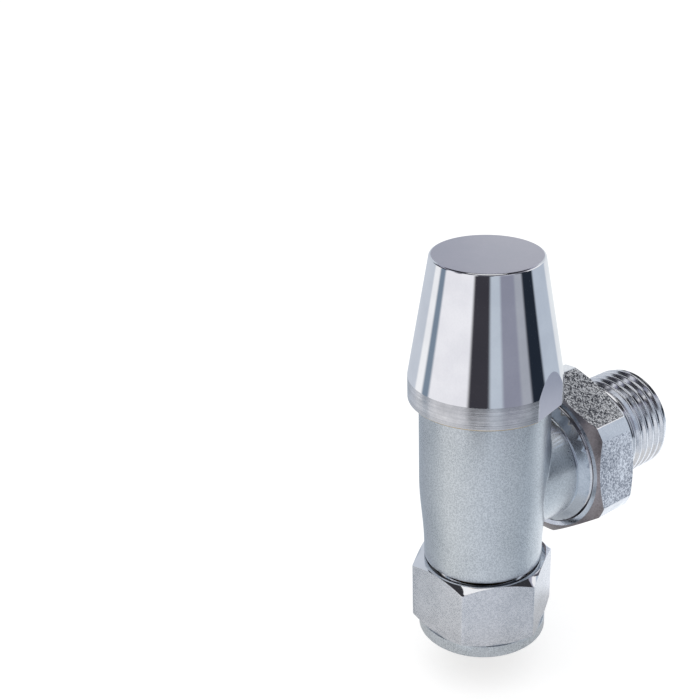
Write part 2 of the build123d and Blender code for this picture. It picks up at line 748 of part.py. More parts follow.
# ------------------------------------------------------------ lockshield_cover
with BuildPart() as lockshield_cover:
    # turned band below, long polished cone above
    with BuildSketch(Plane.XZ):
        with BuildLine():
            Polyline(
                (0, rim_height),
                (band_radius - edge_break, rim_height),
                (band_radius, rim_height + edge_break),
                (band_radius, band_top),
                (cone_top_radius, cover_height),
                (0, cover_height),
                (0, rim_height),
            )
        make_face()
    revolve(axis=Axis.Z)
    top_edge = lockshield_cover.edges().filter_by(GeomType.CIRCLE).sort_by(Axis.Z)[-1]
    fillet(top_edge, radius=cover_edge)
    # two opposed flats for a spanner
    for turn in (0, 180):
        side = Plane.XY.offset(rim_height).rotated((0, 0, cover_flat_angle + turn))
        with BuildSketch(side):
            with Locations((cover_flat_distance + band_radius / 2, 0)):
                Rectangle(band_radius, 2 * band_radius)
        extrude(amount=cover_height - rim_height, mode=Mode.SUBTRACT)
    # seal groove, thread and the room over the headwork
    with BuildSketch(Plane.XZ):
        with BuildLine():
            Polyline(
                (0, rim_height),
                (land_radius + thread_gap, rim_height),
                (land_radius + thread_gap, cover_groove_bottom),
                (cover_groove_radius, cover_groove_bottom),
                (cover_groove_radius, cover_groove_bottom + cover_groove_width),
                (land_radius + thread_gap, cover_groove_bottom + cover_groove_width),
                (land_radius + thread_gap, land_top + land_step),
                (cover_thread_radius + thread_gap, land_top + 2 * land_step),
                (cover_thread_radius + thread_gap, body_top + thread_gap),
                (room_radius(body_top + room_step), body_top + room_step),
                (room_radius(roof_height), roof_height),
                (0, roof_height),
                (0, rim_height),
            )
        make_face()
    revolve(axis=Axis.Z, mode=Mode.SUBTRACT)
lockshield_cover.part.label = "lockshield_cover"
export_step(lockshield_cover.part, "parts/lockshield_cover.step")

# --------------------------------------------------------------- cover_o_ring
with BuildPart() as cover_o_ring:
    with BuildSketch(Plane.XZ):
        cover_ring_radius = land_radius + fit_gap + cover_seal_section
        with Locations((cover_ring_radius, cover_groove_bottom + cover_groove_width / 2)):
            Circle(cover_seal_section)
    revolve(axis=Axis.Z)
cover_o_ring.part.label = "cover_o_ring"
export_step(cover_o_ring.part, "parts/cover_o_ring.step")
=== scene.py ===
"""Looks of an angled lockshield valve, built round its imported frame.

Sizes are millimetres. Each piece is turned about +Z first and then laid on its line: the
inlet's line runs up +Z, and the outlet's line runs out along +X at the tail's height.
Places come from the frame's nodes, and what a node's box can't say is a named field.
"""

import json
import logging
from collections.abc import Callable, Iterable, Sequence
from dataclasses import dataclass, replace
from enum import Enum
from functools import cache
from math import atan2, cos, hypot, pi, radians, sin, sqrt, tan

import bmesh
import bpy
from mathutils import Matrix, Vector


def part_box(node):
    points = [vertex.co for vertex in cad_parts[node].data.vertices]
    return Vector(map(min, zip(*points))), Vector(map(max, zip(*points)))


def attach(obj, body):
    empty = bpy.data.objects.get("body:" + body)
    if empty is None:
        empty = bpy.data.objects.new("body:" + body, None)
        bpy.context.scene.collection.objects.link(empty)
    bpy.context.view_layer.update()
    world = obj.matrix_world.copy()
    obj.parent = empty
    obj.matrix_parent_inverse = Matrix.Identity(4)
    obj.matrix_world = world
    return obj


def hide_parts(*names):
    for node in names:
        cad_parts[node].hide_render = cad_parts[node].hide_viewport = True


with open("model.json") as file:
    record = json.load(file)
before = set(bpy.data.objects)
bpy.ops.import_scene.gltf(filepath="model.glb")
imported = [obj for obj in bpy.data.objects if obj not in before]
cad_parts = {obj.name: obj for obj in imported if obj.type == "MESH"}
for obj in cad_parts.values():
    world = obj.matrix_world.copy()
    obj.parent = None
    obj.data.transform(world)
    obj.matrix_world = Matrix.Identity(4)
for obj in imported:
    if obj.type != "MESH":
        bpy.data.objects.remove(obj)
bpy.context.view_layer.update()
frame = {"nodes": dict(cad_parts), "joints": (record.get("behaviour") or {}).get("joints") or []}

log = logging.getLogger("lockshield_valve")

MM = 0.001
WELD = 0.0004  # millimetres, between points that are one
PIPE_PITCH = 1.814  # of a half-inch pipe thread
COVER_PITCH = 1.5  # of the thread between the cover and the body
TURN = 360.0
Outline = list[tuple[float, float]]
Colour = tuple[float, float, float]
Stops = Sequence[tuple[float, Colour]]
Rule = Callable[[float, float, float], tuple[float, float]]
Socket = bpy.types.NodeSocket
Mesh = bmesh.types.BMesh
Vert = bmesh.types.BMVert


# ------------------------------------------------------------------ places
@dataclass(frozen=True)
class Extent:
    """Lowest and highest corners of a CAD node at rest, in millimetres."""

    low: Vector
    high: Vector

    @classmethod
    @cache
    def of(cls, node: str) -> "Extent":
        """Extent of the CAD node with this name."""
        low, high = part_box(node)
        return cls(low / MM, high / MM)


class Line(Enum):
    """The two lines that the valve's pieces are turned about."""

    INLET = "inlet"
    OUTLET = "outlet"

    @property
    def height(self) -> float:
        """Height of the line's foot above the frame's origin, in millimetres."""
        if self is Line.INLET:
            return 0.0
        tail = Extent.of("tail_pipe")
        return (tail.low.z + tail.high.z) / 2

    @property
    def turn(self) -> Matrix:
        """Rotation that lays a piece made about +Z on this line."""
        if self is Line.INLET:
            return Matrix.Identity(4)
        return Matrix(((0, 0, 1, 0), (1, 0, 0, 0), (0, 1, 0, 0), (0, 0, 0, 1)))

    def place(self) -> Matrix:
        """Whole move from a piece's own axes to the frame's, still in millimetres."""
        return Matrix.Translation((0, 0, self.height)) @ self.turn


# ------------------------------------------------------------------ shader tools
class Signal:
    """A number in a material's nodes, so that shader maths reads as Python."""

    def __init__(self, shader: "Shader", socket: Socket) -> None:
        """Wraps one socket of this shader."""
        self.shader = shader
        self.socket = socket

    def _maths(self, operation: str, *terms: "Signal | float") -> "Signal":
        """Adds a Math node that works on these terms.

        Args:
            operation: The Math node's operation.
            terms: Signals or numbers, in the order of the node's sockets.

        Returns:
            The node's result.
        """
        node = self.shader.node("ShaderNodeMath", {"operation": operation}, dict(enumerate(terms)))
        return Signal(self.shader, node.outputs[0])

    def __add__(self, other: "Signal | float") -> "Signal":
        """Sum."""
        return self._maths("ADD", self, other)

    def __sub__(self, other: "Signal | float") -> "Signal":
        """Difference."""
        return self._maths("SUBTRACT", self, other)

    def __rsub__(self, other: float) -> "Signal":
        """Difference from a number on the left."""
        return self._maths("SUBTRACT", other, self)

    def __mul__(self, other: "Signal | float") -> "Signal":
        """Product."""
        return self._maths("MULTIPLY", self, other)

    __radd__ = __add__
    __rmul__ = __mul__

    def __pow__(self, other: float) -> "Signal":
        """Power."""
        return self._maths("POWER", self, other)

    def between(self, low: float, high: float) -> "Signal":
        """Rises smoothly from 0 at low to 1 at high."""
        settings = {"interpolation_type": "SMOOTHSTEP"}
        sockets = {"Value": self, "From Min": low, "From Max": high}
        node = self.shader.node("ShaderNodeMapRange", settings, sockets)
        return Signal(self.shader, node.outputs[0])


class Shader:
    """Node tree of one material or of the world, with one method that adds any node."""

    def __init__(self, owner: bpy.types.Material | bpy.types.World) -> None:
        """Clears the owner's tree."""
        owner.use_nodes = True
        self.owner = owner
        self.tree = owner.node_tree
        self.tree.nodes.clear()

    def node(self, kind: str, settings: dict | None = None,
             sockets: dict | None = None) -> bpy.types.Node:
        """Adds a node.

        Args:
            kind: The node's type.
            settings: Its properties, set first. "stops" are a ramp's places and colours.
            sockets: Values, sockets or signals for its inputs, by name or number.

        Returns:
            The new node.
        """
        node = self.tree.nodes.new(kind)
        for name, value in (settings or {}).items():
            if name == "stops":
                self._set_stops(node.color_ramp, value)
            else:
                setattr(node, name, value)
        for name, value in (sockets or {}).items():
            source = value.socket if isinstance(value, Signal) else value
            if isinstance(source, Socket):
                self.tree.links.new(source, node.inputs[name])
            else:
                node.inputs[name].default_value = source
        return node

    @staticmethod
    def _set_stops(ramp: bpy.types.ColorRamp, stops: Stops) -> None:
        """Gives a ramp these places and colours."""
        while len(ramp.elements) < len(stops):
            ramp.elements.new(1.0)
        for element, (place, colour) in zip(ramp.elements, stops):
            element.position = place
            element.color = (*colour, 1.0)

    def signal(self, socket: Socket) -> Signal:
        """Wraps a socket for shader maths."""
        return Signal(self, socket)

    def millimetres(self, line: Line) -> Socket:
        """Object coordinates in millimetres, with the piece's line along Z."""
        settings = {"vector_type": "TEXTURE"}
        sockets = {
            "Vector": self.node("ShaderNodeTexCoord").outputs["Object"],
            "Location": (0, 0, line.height * MM),
            "Rotation": line.turn.to_euler(),
            "Scale": (MM, MM, MM),
        }
        return self.node("ShaderNodeMapping", settings, sockets).outputs[0]

    def noise(self, vector: Socket, size: float, detail: float = 2.0) -> Signal:
        """Noise whose lumps are about this many millimetres across."""
        sockets = {"Vector": vector, "Scale": 1 / size, "Detail": detail, "Roughness": 0.55}
        return self.signal(self.node("ShaderNodeTexNoise", {}, sockets).outputs[0])

    def mix(self, factor: Signal, below: Colour | Socket, above: Colour | Socket) -> Socket:
        """Goes from one colour to another.

        Args:
            factor: 0 for the first colour and 1 for the second.
            below: The first colour, plain or from a socket.
            above: The second colour, plain or from a socket.

        Returns:
            The mixed colour.
        """
        first, last = ((*c, 1.0) if isinstance(c, tuple) else c for c in (below, above))
        sockets = {"Factor": factor, 6: first, 7: last}
        return self.node("ShaderNodeMix", {"data_type": "RGBA"}, sockets).outputs[2]

    def ramp(self, factor: Socket, stops: Stops) -> Socket:
        """Colour from a ramp with these stops."""
        return self.node("ShaderNodeValToRGB", {"stops": stops}, {0: factor}).outputs[0]

    def seen(self, in_gloss: float) -> Signal:
        """1 for the camera and through glass, and this much in a glossy reflection."""
        outputs = self.node("ShaderNodeLightPath").outputs
        rays = ("Is Camera Ray", "Is Transmission Ray", "Is Glossy Ray")
        camera, glass, gloss = (self.signal(outputs[ray]) for ray in rays)
        return camera + glass + gloss * in_gloss

    def surface(self, colour: Socket, rough: Signal, height: Signal,
                metallic: float) -> bpy.types.Material:
        """Ends the tree in a Principled shader.

        Args:
            colour: Its colour.
            rough: Its roughness.
            height: Height of its grain and marks, in millimetres.
            metallic: 1 for a metal and 0 for anything else.

        Returns:
            The material.
        """
        bump = self.node("ShaderNodeBump", {}, {"Height": height, "Distance": MM, "Strength": 1.0})
        sockets = {"Base Color": colour, "Roughness": rough, "Metallic": metallic}
        sockets["Normal"] = bump.outputs[0]
        principled = self.node("ShaderNodeBsdfPrincipled", {}, sockets)
        self.node("ShaderNodeOutputMaterial", {}, {"Surface": principled.outputs[0]})
        return self.owner


# ------------------------------------------------------------------ finishes
@dataclass(frozen=True)
class Metal:
    """A metal finish: its colour, the grain of its surface and the marks of the lathe."""

    name: str
    bright: Colour
    dull: Colour
    roughness: float
    rough_spread: float = 0.06
    grain: float = 0.3  # across one lump of the grain
    grain_height: float = 0.004
    speckle: float = 0.3  # how far the grain changes the colour
    speckle_edge: float = 0.12  # half the width of the step between a dark and a bright lump
    marks: float = 0.0  # how deep the turning marks look, from 0 to 1
    mark_pitch: float = 0.16
    cells: float = 0.0  # across one facet of a blasted surface, 0 for none
    cloud: float = 6.0  # across one patch of the slow change of tone
    stain: Colour = (0.5, 0.5, 0.5)
    stain_share: float = 0.0

    # the same for all metals
    cell_share = 0.6  # of the grain that the facets make
    cloud_range = (0.3, 0.7)  # of the slow noise, from all dull to all bright
    mark_height = 0.05  # of the marks, for each millimetre of their pitch
    mark_rough = 0.25
    mark_tint = 0.55
    mark_range = (0.35, 0.7)
    stain_size = 0.7  # of the cloud's size
    stain_range = (0.5, 0.72)

    def make(self, line: Line) -> bpy.types.Material:
        """Builds the material for a piece on this line.

        Args:
            line: The line that the piece was turned about, which the marks run round.

        Returns:
            The material.
        """
        shader = Shader(bpy.data.materials.new(f"{self.name}_{line.value}"))
        place = shader.millimetres(line)
        grain = shader.noise(place, self.grain, 3.0)
        cloud = shader.noise(place, self.cloud, 3.0)
        if self.cells:
            facets = self._cells(shader, place)
            grain = grain * (1 - self.cell_share) + facets * self.cell_share
        lumps = grain.between(0.5 - self.speckle_edge, 0.5 + self.speckle_edge)
        mask = lumps * self.speckle + cloud.between(*self.cloud_range) * (1 - self.speckle)
        height = grain * self.grain_height
        rough = self.roughness + (cloud - 0.5) * (2 * self.rough_spread)
        rough = rough + (lumps - 0.5) * (self.rough_spread * self.speckle)
        colour = shader.mix(mask, self.dull, self.bright)
        if self.marks:
            rings = self._turning_marks(shader, place, cloud)
            height = height + rings * (self.mark_pitch * self.mark_height * self.marks)
            rough = rough + (rings - 0.5) * (self.mark_rough * self.marks)
            shade = rings.between(*self.mark_range) * (self.mark_tint * self.marks)
            colour = shader.mix(shade, colour, self.dull)
        if self.stain_share:
            patches = shader.noise(place, self.cloud * self.stain_size, 5.0)
            colour = shader.mix(
                patches.between(*self.stain_range) * self.stain_share, colour, self.stain,
            )
        return shader.surface(colour, rough, height, 1.0)

    def _cells(self, shader: Shader, place: Socket) -> Signal:
        """Small facets that each catch the light in their own way.

        Args:
            shader: The tree to add to.
            place: Coordinates in millimetres.

        Returns:
            A number for each facet, from 0 to 1.
        """
        sockets = {"Vector": place, "Scale": 1 / self.cells}
        cells = shader.node("ShaderNodeTexVoronoi", {"feature": "F1"}, sockets)
        split = shader.node("ShaderNodeSeparateColor", {}, {0: cells.outputs["Color"]})
        return shader.signal(split.outputs[0])

    def _turning_marks(self, shader: Shader, place: Socket, cloud: Signal) -> Signal:
        """Fine rings left by a tool, round the line on a side and round the centre on a face.

        Args:
            shader: The tree to add to.
            place: Coordinates in millimetres.
            cloud: Slow noise that keeps the rings from being perfect.

        Returns:
            The rings, from 0 to 1.
        """
        split = shader.node("ShaderNodeSeparateXYZ", {}, {0: place})
        x, y, z = (shader.signal(split.outputs[i]) for i in range(3))
        radius = (x * x + y * y) ** 0.5
        waver = 0.1  # how far the slow noise moves a ring, in millimetres
        drawn = 0.004  # so small that a ring hardly changes along its length
        sockets = {0: radius + cloud * waver, 1: z + cloud * waver, 2: (x + y) * drawn}
        rolled = shader.node("ShaderNodeCombineXYZ", {}, sockets)
        return shader.noise(rolled.outputs[0], self.mark_pitch, 2.0)


@dataclass(frozen=True)
class Soft:
    """A soft seal or packing: matt, with its own grain and a slow change of tone."""

    name: str
    light: Colour
    dark: Colour
    roughness: float
    grain: float
    grain_height: float
    strand: float = 0.0  # across one strand of braid, 0 for none

    # the same for all soft pieces
    fine_share = 0.6  # of the tone that follows the grain or, on braid, not the strands
    patch = 3.0  # across one patch of the slow change of tone
    spread = (0.3, 0.7)  # of either noise, from all dark to all light
    strand_height = 0.2  # of a strand, for each millimetre of its width
    rough_spread = 0.15

    def make(self, line: Line) -> bpy.types.Material:
        """Builds the material for a piece on this line.

        Args:
            line: The line that the piece was turned about.

        Returns:
            The material.
        """
        shader = Shader(bpy.data.materials.new(f"{self.name}_{line.value}"))
        place = shader.millimetres(line)
        grain = shader.noise(place, self.grain, 4.0)
        patches = shader.noise(place, self.patch).between(*self.spread)
        mask = grain.between(*self.spread) * self.fine_share + patches * (1 - self.fine_share)
        height = grain * self.grain_height
        if self.strand:
            settings = {"wave_type": "BANDS", "bands_direction": "DIAGONAL"}
            sockets = {"Vector": place, "Scale": 0.3 / self.strand, "Distortion": 1.5, "Detail": 1.0}
            braid = shader.signal(shader.node("ShaderNodeTexWave", settings, sockets).outputs[1])
            mask = mask * self.fine_share + braid * (1 - self.fine_share)
            height = height + braid * (self.strand * self.strand_height)
        rough = self.roughness + (grain - 0.5) * self.rough_spread
        return shader.surface(shader.mix(mask, self.dark, self.light), rough, height, 0.0)


class Finish(Enum):
    """The finishes on the valve, with copies of chrome that paint shade and light on chosen faces."""

    MIRROR = Metal(
        "mirror_chrome", (0.86, 0.87, 0.90), (0.78, 0.79, 0.83), 0.05,
        rough_spread=0.008, grain=0.35, grain_height=0.0004, speckle=0.15,
    )
    BAND = Metal(
        "band_chrome", (0.84, 0.84, 0.87), (0.46, 0.47, 0.50), 0.24,
        rough_spread=0.05, grain=0.4, grain_height=0.001, speckle=0.1, marks=1.0, mark_pitch=0.3,
    )
    FLAT = Metal(
        "flat_chrome", (0.50, 0.50, 0.57), (0.45, 0.45, 0.52), 0.30,
        rough_spread=0.04, grain=0.4, grain_height=0.001, speckle=0.25,
    )
    CROWN = Metal(
        "crown_chrome", (0.60, 0.58, 0.64), (0.55, 0.54, 0.60), 0.32,
        rough_spread=0.03, grain_height=0.0008,
    )
    SATIN = Metal(
        "satin_chrome", (0.66, 0.70, 0.74), (0.44, 0.475, 0.51), 0.30,
        rough_spread=0.05, grain=0.28, grain_height=0.014, speckle=0.8, cloud=9.0,
    )
    BOSS = Metal(
        "boss_chrome", (0.62, 0.68, 0.75), (0.46, 0.51, 0.58), 0.24,
        rough_spread=0.04, grain_height=0.006, speckle=0.4,
    )
    TURNED = Metal(
        "turned_chrome", (0.97, 0.97, 0.99), (0.66, 0.68, 0.73), 0.14,
        rough_spread=0.05, grain_height=0.002, marks=0.3,
    )
    # two copies of one blasted chrome for the union nut's flats: the up-facing flat's copy has whiter
    # and darker glitter, painted light from above
    UP_FLAT_LIT = Metal(
        "up_flat_lit_chrome", (1.0, 1.0, 1.0), (0.09, 0.095, 0.11), 0.22,
        rough_spread=0.08, grain=0.25, grain_height=0.12, speckle=0.85, speckle_edge=0.20, cells=0.30,
    )
    SIDE_FLAT_DIMMED = Metal(
        "side_flat_dimmed_chrome", (0.82, 0.85, 0.92), (0.22, 0.24, 0.29), 0.26,
        rough_spread=0.08, grain=0.25, grain_height=0.05, speckle=0.65, speckle_edge=0.20, cells=0.28,
    )
    # dark brownish chrome that paints shade in the nuts' mouths and the body's dark reflection on the
    # union nut's near chamfer
    PAINTED_SHADE = Metal(
        "painted_shade_chrome", (0.40, 0.37, 0.39), (0.22, 0.20, 0.21), 0.30,
        rough_spread=0.08, grain=0.4, speckle=0.4,
    )
    BLASTED = Metal(
        "blasted_chrome", (0.72, 0.73, 0.77), (0.48, 0.50, 0.54), 0.28,
        grain=0.24, grain_height=0.012, speckle=0.65, speckle_edge=0.20, cells=0.2,
    )
    BRASS = Metal(
        "turned_brass", (0.83, 0.63, 0.33), (0.60, 0.42, 0.20), 0.24,
        grain_height=0.002, marks=0.6, stain=(0.40, 0.25, 0.12), stain_share=0.35,
    )
    STEEL = Metal(
        "spring_steel", (0.42, 0.42, 0.43), (0.26, 0.26, 0.27), 0.3,
        grain=0.2, grain_height=0.003, speckle=0.5,
    )
    RUBBER = Soft(
        "black_rubber", (0.035, 0.035, 0.037), (0.012, 0.012, 0.013), 0.5,
        grain=0.12, grain_height=0.01,
    )
    PACKING = Soft(
        "white_packing", (0.82, 0.80, 0.74), (0.60, 0.57, 0.50), 0.6,
        grain=0.2, grain_height=0.01, strand=0.7,
    )
    WASHER = Soft(
        "white_polymer", (0.85, 0.84, 0.80), (0.74, 0.72, 0.68), 0.38,
        grain=0.15, grain_height=0.002,
    )

    @cache
    def on(self, line: Line) -> bpy.types.Material:
        """The finish's material for a piece on this line, made once."""
        return self.value.make(line)


# ------------------------------------------------------------------ turning
def softest(a: float, b: float, width: float) -> float:
    """Smaller of two radii, rounded where they cross.

    Args:
        a: One radius.
        b: The other radius.
        width: How near the two are where the rounding starts.

    Returns:
        The rounded smaller radius.
    """
    near = max(width - abs(a - b), 0) / width
    return min(a, b) - near * near * width / 4


def soften(outline: Outline, radius: float, segments: int = 3) -> Outline:
    """Rounds each inner corner of an outline with an arc.

    Args:
        outline: Radii and heights, in order.
        radius: The arc's radius, smaller where a side is short.
        segments: Steps in each arc.

    Returns:
        The rounded outline.
    """
    straight = radians(88)  # half a corner's angle, past which it is left alone
    longest = 0.45  # share of the shorter side that an arc may take
    points = [Vector(p) for p in outline]
    done = [outline[0]]
    for before, here, after in zip(points, points[1:], points[2:]):
        back = (before - here).normalized()
        on = (after - here).normalized()
        half = back.angle(on) / 2
        if half > straight:
            done.append(tuple(here))
            continue
        room = min((before - here).length, (after - here).length) * longest
        reach = min(radius / tan(half), room)
        arc_radius = reach * tan(half)
        centre = here + (back + on).normalized() * (arc_radius / sin(half))
        first = here + back * reach - centre
        last = here + on * reach - centre
        sweep = first.angle_signed(last)
        for step in range(segments + 1):
            angle = -sweep * step / segments
            turned = Vector((
                first.x * cos(angle) - first.y * sin(angle),
                first.x * sin(angle) + first.y * cos(angle),
            ))
            done.append(tuple(centre + turned))
    done.append(outline[-1])
    return done


@dataclass(frozen=True)
class Thread:
    """A single-start thread cut into a turned surface.

    A positive depth cuts towards the line and a negative depth cuts away from it. The groove
    dies out at both ends in a plain circle, which has the crest's radius if it has none of
    its own.
    """

    crest: float
    depth: float
    pitch: float
    start: float
    end: float
    run_in: float = 0.8
    run_out: float = 0.8
    start_radius: float | None = None
    end_radius: float | None = None

    # share of the pitch from a crest, and share of the depth there
    form = ((0.0, 0.0), (0.08, 0.02), (0.14, 0.14), (0.38, 0.86), (0.44, 0.98))

    def outline(self) -> Outline:
        """Crests and grooves along the line, one pitch longer than the thread."""
        rise = list(self.form)
        fall = [(1 - share, depth) for share, depth in reversed(rise[1:])]
        turns = int((self.end - self.start) / self.pitch) + 2
        base = self.start - self.pitch
        return [
            (self.crest - self.depth * depth, base + (turn + share) * self.pitch)
            for turn in range(turns)
            for share, depth in rise + fall
        ] + [(self.crest, base + turns * self.pitch)]

    def settle(self, radius: float, height: float) -> tuple[float, float]:
        """Radius and height of a point after the thread has died out at its ends.

        Args:
            radius: The point's radius on the endless thread.
            height: Its height there.

        Returns:
            The radius and the height.
        """
        height = min(max(height, self.start), self.end)
        fade_in = min((height - self.start) / self.run_in, 1.0)
        fade_out = min((self.end - height) / self.run_out, 1.0)
        first = self.start_radius or self.crest
        last = self.end_radius or self.crest
        radius = first + (radius - first) * fade_in
        return last + (radius - last) * fade_out, height


def link(name: str, data: bpy.types.ID) -> bpy.types.Object:
    """Adds an object with this data to the scene."""
    thing = bpy.data.objects.new(name, data)
    bpy.context.scene.collection.objects.link(thing)
    return thing


def show(name: str, mesh: Mesh) -> bpy.types.Object:
    """Makes an object of a mesh that is in metres, and frees the mesh."""
    data = bpy.data.meshes.new(name)
    mesh.to_mesh(data)
    mesh.free()
    return link(name, data)


def pour(part: Mesh, whole: Mesh) -> None:
    """Adds one mesh to another and frees it."""
    carrier = bpy.data.meshes.new("carrier")
    part.to_mesh(carrier)
    part.free()
    whole.from_mesh(carrier)
    bpy.data.meshes.remove(carrier)


class Turning:
    """A piece turned about +Z from outlines that share their columns."""

    def __init__(self, columns: Sequence[tuple[float, int]], start: float = 0.0) -> None:
        """Starts an empty piece.

        Args:
            columns: Degrees and steps of each stretch of the turn, 360 degrees in all.
            start: Where the turn starts, in degrees from the piece's own +X.
        """
        self.mesh = bmesh.new()
        self.columns = columns
        self.start = radians(start)

    def turn(self, outline: Outline, lead: float = 0.0) -> list[Vert]:
        """Spins an outline once round the line.

        Args:
            outline: Radii and heights.
            lead: Climb in one turn, for a thread.

        Returns:
            The new points.
        """
        known = set(self.mesh.verts)
        turned = 0.0
        for angle, steps in self.columns:
            self._stretch(outline, lead, (turned, angle, steps))
            turned += angle
        return [v for v in self.mesh.verts if v not in known]

    def _stretch(self, outline: Outline, lead: float, stretch: tuple[float, float, int]) -> None:
        """Spins an outline through one stretch, in a small mesh of its own, and adds it.

        Args:
            outline: Radii and heights.
            lead: Climb in one turn.
            stretch: Degrees turned before this stretch, its own degrees and its columns.
        """
        turned, angle, steps = stretch
        part = bmesh.new()
        climb = Matrix.Translation((0, 0, lead * turned / TURN))
        around = climb @ Matrix.Rotation(self.start + radians(turned), 4, "Z")
        points = [part.verts.new(around @ Vector((r, 0, z))) for r, z in outline]
        ring = points + [part.edges.new(pair) for pair in zip(points, points[1:])]
        bmesh.ops.spin(
            part, geom=ring, cent=(0, 0, 0), axis=(0, 0, 1),
            dvec=(0, 0, lead * angle / TURN / steps), angle=radians(angle), steps=steps,
            use_merge=False, use_normal_flip=False, use_duplicate=False,
        )
        pour(part, self.mesh)

    def cut(self, thread: Thread) -> None:
        """Adds a thread between two plain circles."""
        for v in self.turn(thread.outline(), thread.pitch):
            radius, height = thread.settle(hypot(v.co.x, v.co.y), v.co.z)
            self._move(v, radius, height)

    def shape(self, points: Iterable[Vert], rule: Rule) -> None:
        """Moves points in or out and up or down by a rule.

        Args:
            points: The points to move.
            rule: Gives a new radius and height from an angle, a radius and a height.
        """
        for v in points:
            radius, height = rule(atan2(v.co.y, v.co.x), hypot(v.co.x, v.co.y), v.co.z)
            self._move(v, radius, height)

    @staticmethod
    def _move(v: Vert, radius: float, height: float) -> None:
        """Puts a point at a radius and height without turning it."""
        was = hypot(v.co.x, v.co.y)
        if was > 0:
            v.co.x *= radius / was
            v.co.y *= radius / was
        v.co.z = height

    def weld(self) -> Mesh:
        """Welds the outlines' shared circles."""
        bmesh.ops.remove_doubles(self.mesh, verts=self.mesh.verts, dist=WELD)
        bmesh.ops.dissolve_degenerate(self.mesh, edges=self.mesh.edges, dist=WELD / 4)
        return self.mesh

    def close(self) -> Mesh:
        """Welds the outlines into one closed shell with its faces outwards."""
        mesh = self.weld()
        bmesh.ops.recalc_face_normals(mesh, faces=mesh.faces)
        return mesh


def even(steps: int) -> list[tuple[float, int]]:
    """Columns of a plain turned piece, in twelve stretches."""
    return [(30.0, steps // 12)] * 12


@dataclass(frozen=True)
class Hexagon:
    """Hexagon drawn round a turned bar, with the bar's crest showing at its corners."""

    flats: float  # across flats
    crest: float  # radius of the turned corners
    first_corner: float  # degrees from the piece's own +X
    rounding: float = 0.08

    def columns(self, beside: float = 8.0) -> list[tuple[float, int]]:
        """Columns that stand closer beside the corners."""
        return [(beside, 16), (60 - 2 * beside, 18), (beside, 16)] * 6

    def from_flat(self, angle: float) -> float:
        """Angle between this direction and the middle of its flat, in radians."""
        corner = radians(self.first_corner)
        return (angle - corner) % (pi / 3) - pi / 6

    def radius(self, angle: float) -> float:
        """Radius of the hexagon's wall in this direction."""
        return softest(self.flats / 2 / cos(self.from_flat(angle)), self.crest, self.rounding)

    def on_flat(self, normal: Vector, tolerance: float = 0.03) -> bool:
        """True for a face that lies on one of the flats."""
        if abs(normal.z) > tolerance:
            return False
        return abs(self.from_flat(atan2(normal.y, normal.x))) < tolerance


@dataclass(frozen=True)
class Chamfered:
    """Rule that draws a chamfered bar in to a hexagon and keeps the chamfers' slope."""

    hexagon: Hexagon
    face_radius: float
    low: float
    high: float
    zone: float  # height at each end that holds the chamfer and its rounding

    slope = radians(30)  # of a chamfer, from the nut's face

    @property
    def drop(self) -> float:
        """Height of a chamfer at the crest."""
        return (self.hexagon.crest - self.face_radius) * tan(self.slope)

    def outline(self) -> Outline:
        """Outer outline of the round bar, from its low face to its high face."""
        crest = self.hexagon.crest
        return [
            (self.face_radius, self.low),
            (crest, self.low + self.drop),
            (crest, self.high - self.drop),
            (self.face_radius, self.high),
        ]

    def rule(self, angle: float, radius: float, height: float) -> tuple[float, float]:
        """New radius and height of a point of the bar.

        Args:
            angle: The point's direction, in radians.
            radius: Its radius on the round bar.
            height: Its height there.

        Returns:
            Its radius and height on the hexagon.
        """
        if radius <= self.face_radius or not self.low <= height <= self.high:
            return radius, height
        ring = self.hexagon.crest - self.face_radius
        share = max((self.hexagon.radius(angle) - self.face_radius) / ring, 0.0)
        new_radius = self.face_radius + (radius - self.face_radius) * share
        from_low = height - self.low
        from_high = self.high - height
        if from_low <= self.zone:
            return new_radius, self.low + from_low * share
        if from_high <= self.zone:
            return new_radius, self.high - from_high * share
        across = (from_low - self.zone) / (self.high - self.low - 2 * self.zone)
        bottom = self.low + self.zone * share
        top = self.high - self.zone * share
        return new_radius, bottom + (top - bottom) * across


# ------------------------------------------------------------------ pieces
@dataclass(frozen=True)
class Facing:
    """Where a face lies, in its piece's own axes, and which way it looks."""

    middle: Vector
    normal: Vector

    @property
    def radius(self) -> float:
        """Distance from the piece's line."""
        return hypot(self.middle.x, self.middle.y)

    @property
    def outwards(self) -> float:
        """The radius times the normal's share along it, below 0 on the wall of a bore."""
        return self.normal.x * self.middle.x + self.normal.y * self.middle.y


class Piece:
    """A piece that is modelled about +Z, rides on a body and stands for a CAD node."""

    name: str
    node: str
    body: str
    slot: str
    finishes: tuple[Finish, ...]
    line = Line.INLET
    sharp = 40.0  # degrees past which an edge stays hard
    bore_look = -0.1  # in a bore, Facing.outwards is under this, or under this times the radius

    def model(self) -> Mesh:
        """Models the piece in its own axes, in millimetres."""
        raise NotImplementedError

    def takes(self, face: Facing) -> Finish:
        """Finish that a face takes."""
        return self.finishes[0]

    def build(self) -> bpy.types.Object:
        """Models the piece, lays it on its line, in metres, and dresses it."""
        mesh = self.model()
        for face in mesh.faces:
            facing = Facing(face.calc_center_median(), face.normal)
            face.material_index = self.finishes.index(self.takes(facing))
            face.smooth = True
        bmesh.ops.transform(mesh, matrix=Matrix.Scale(MM, 4) @ self.line.place(), verts=mesh.verts)
        piece = show(self.name, mesh)
        for finish in self.finishes:
            piece.data.materials.append(finish.on(self.line))
        piece.data.set_sharp_from_angle(angle=radians(self.sharp))
        weighted = piece.modifiers.new("even_faces", "WEIGHTED_NORMAL")
        weighted.keep_sharp = True
        weighted.weight = 90
        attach(piece, self.body)
        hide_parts(self.node)
        faces = len(piece.data.polygons)
        log.info("%s stands for %s on %s, %d faces", self.name, self.node, self.body, faces)
        return piece


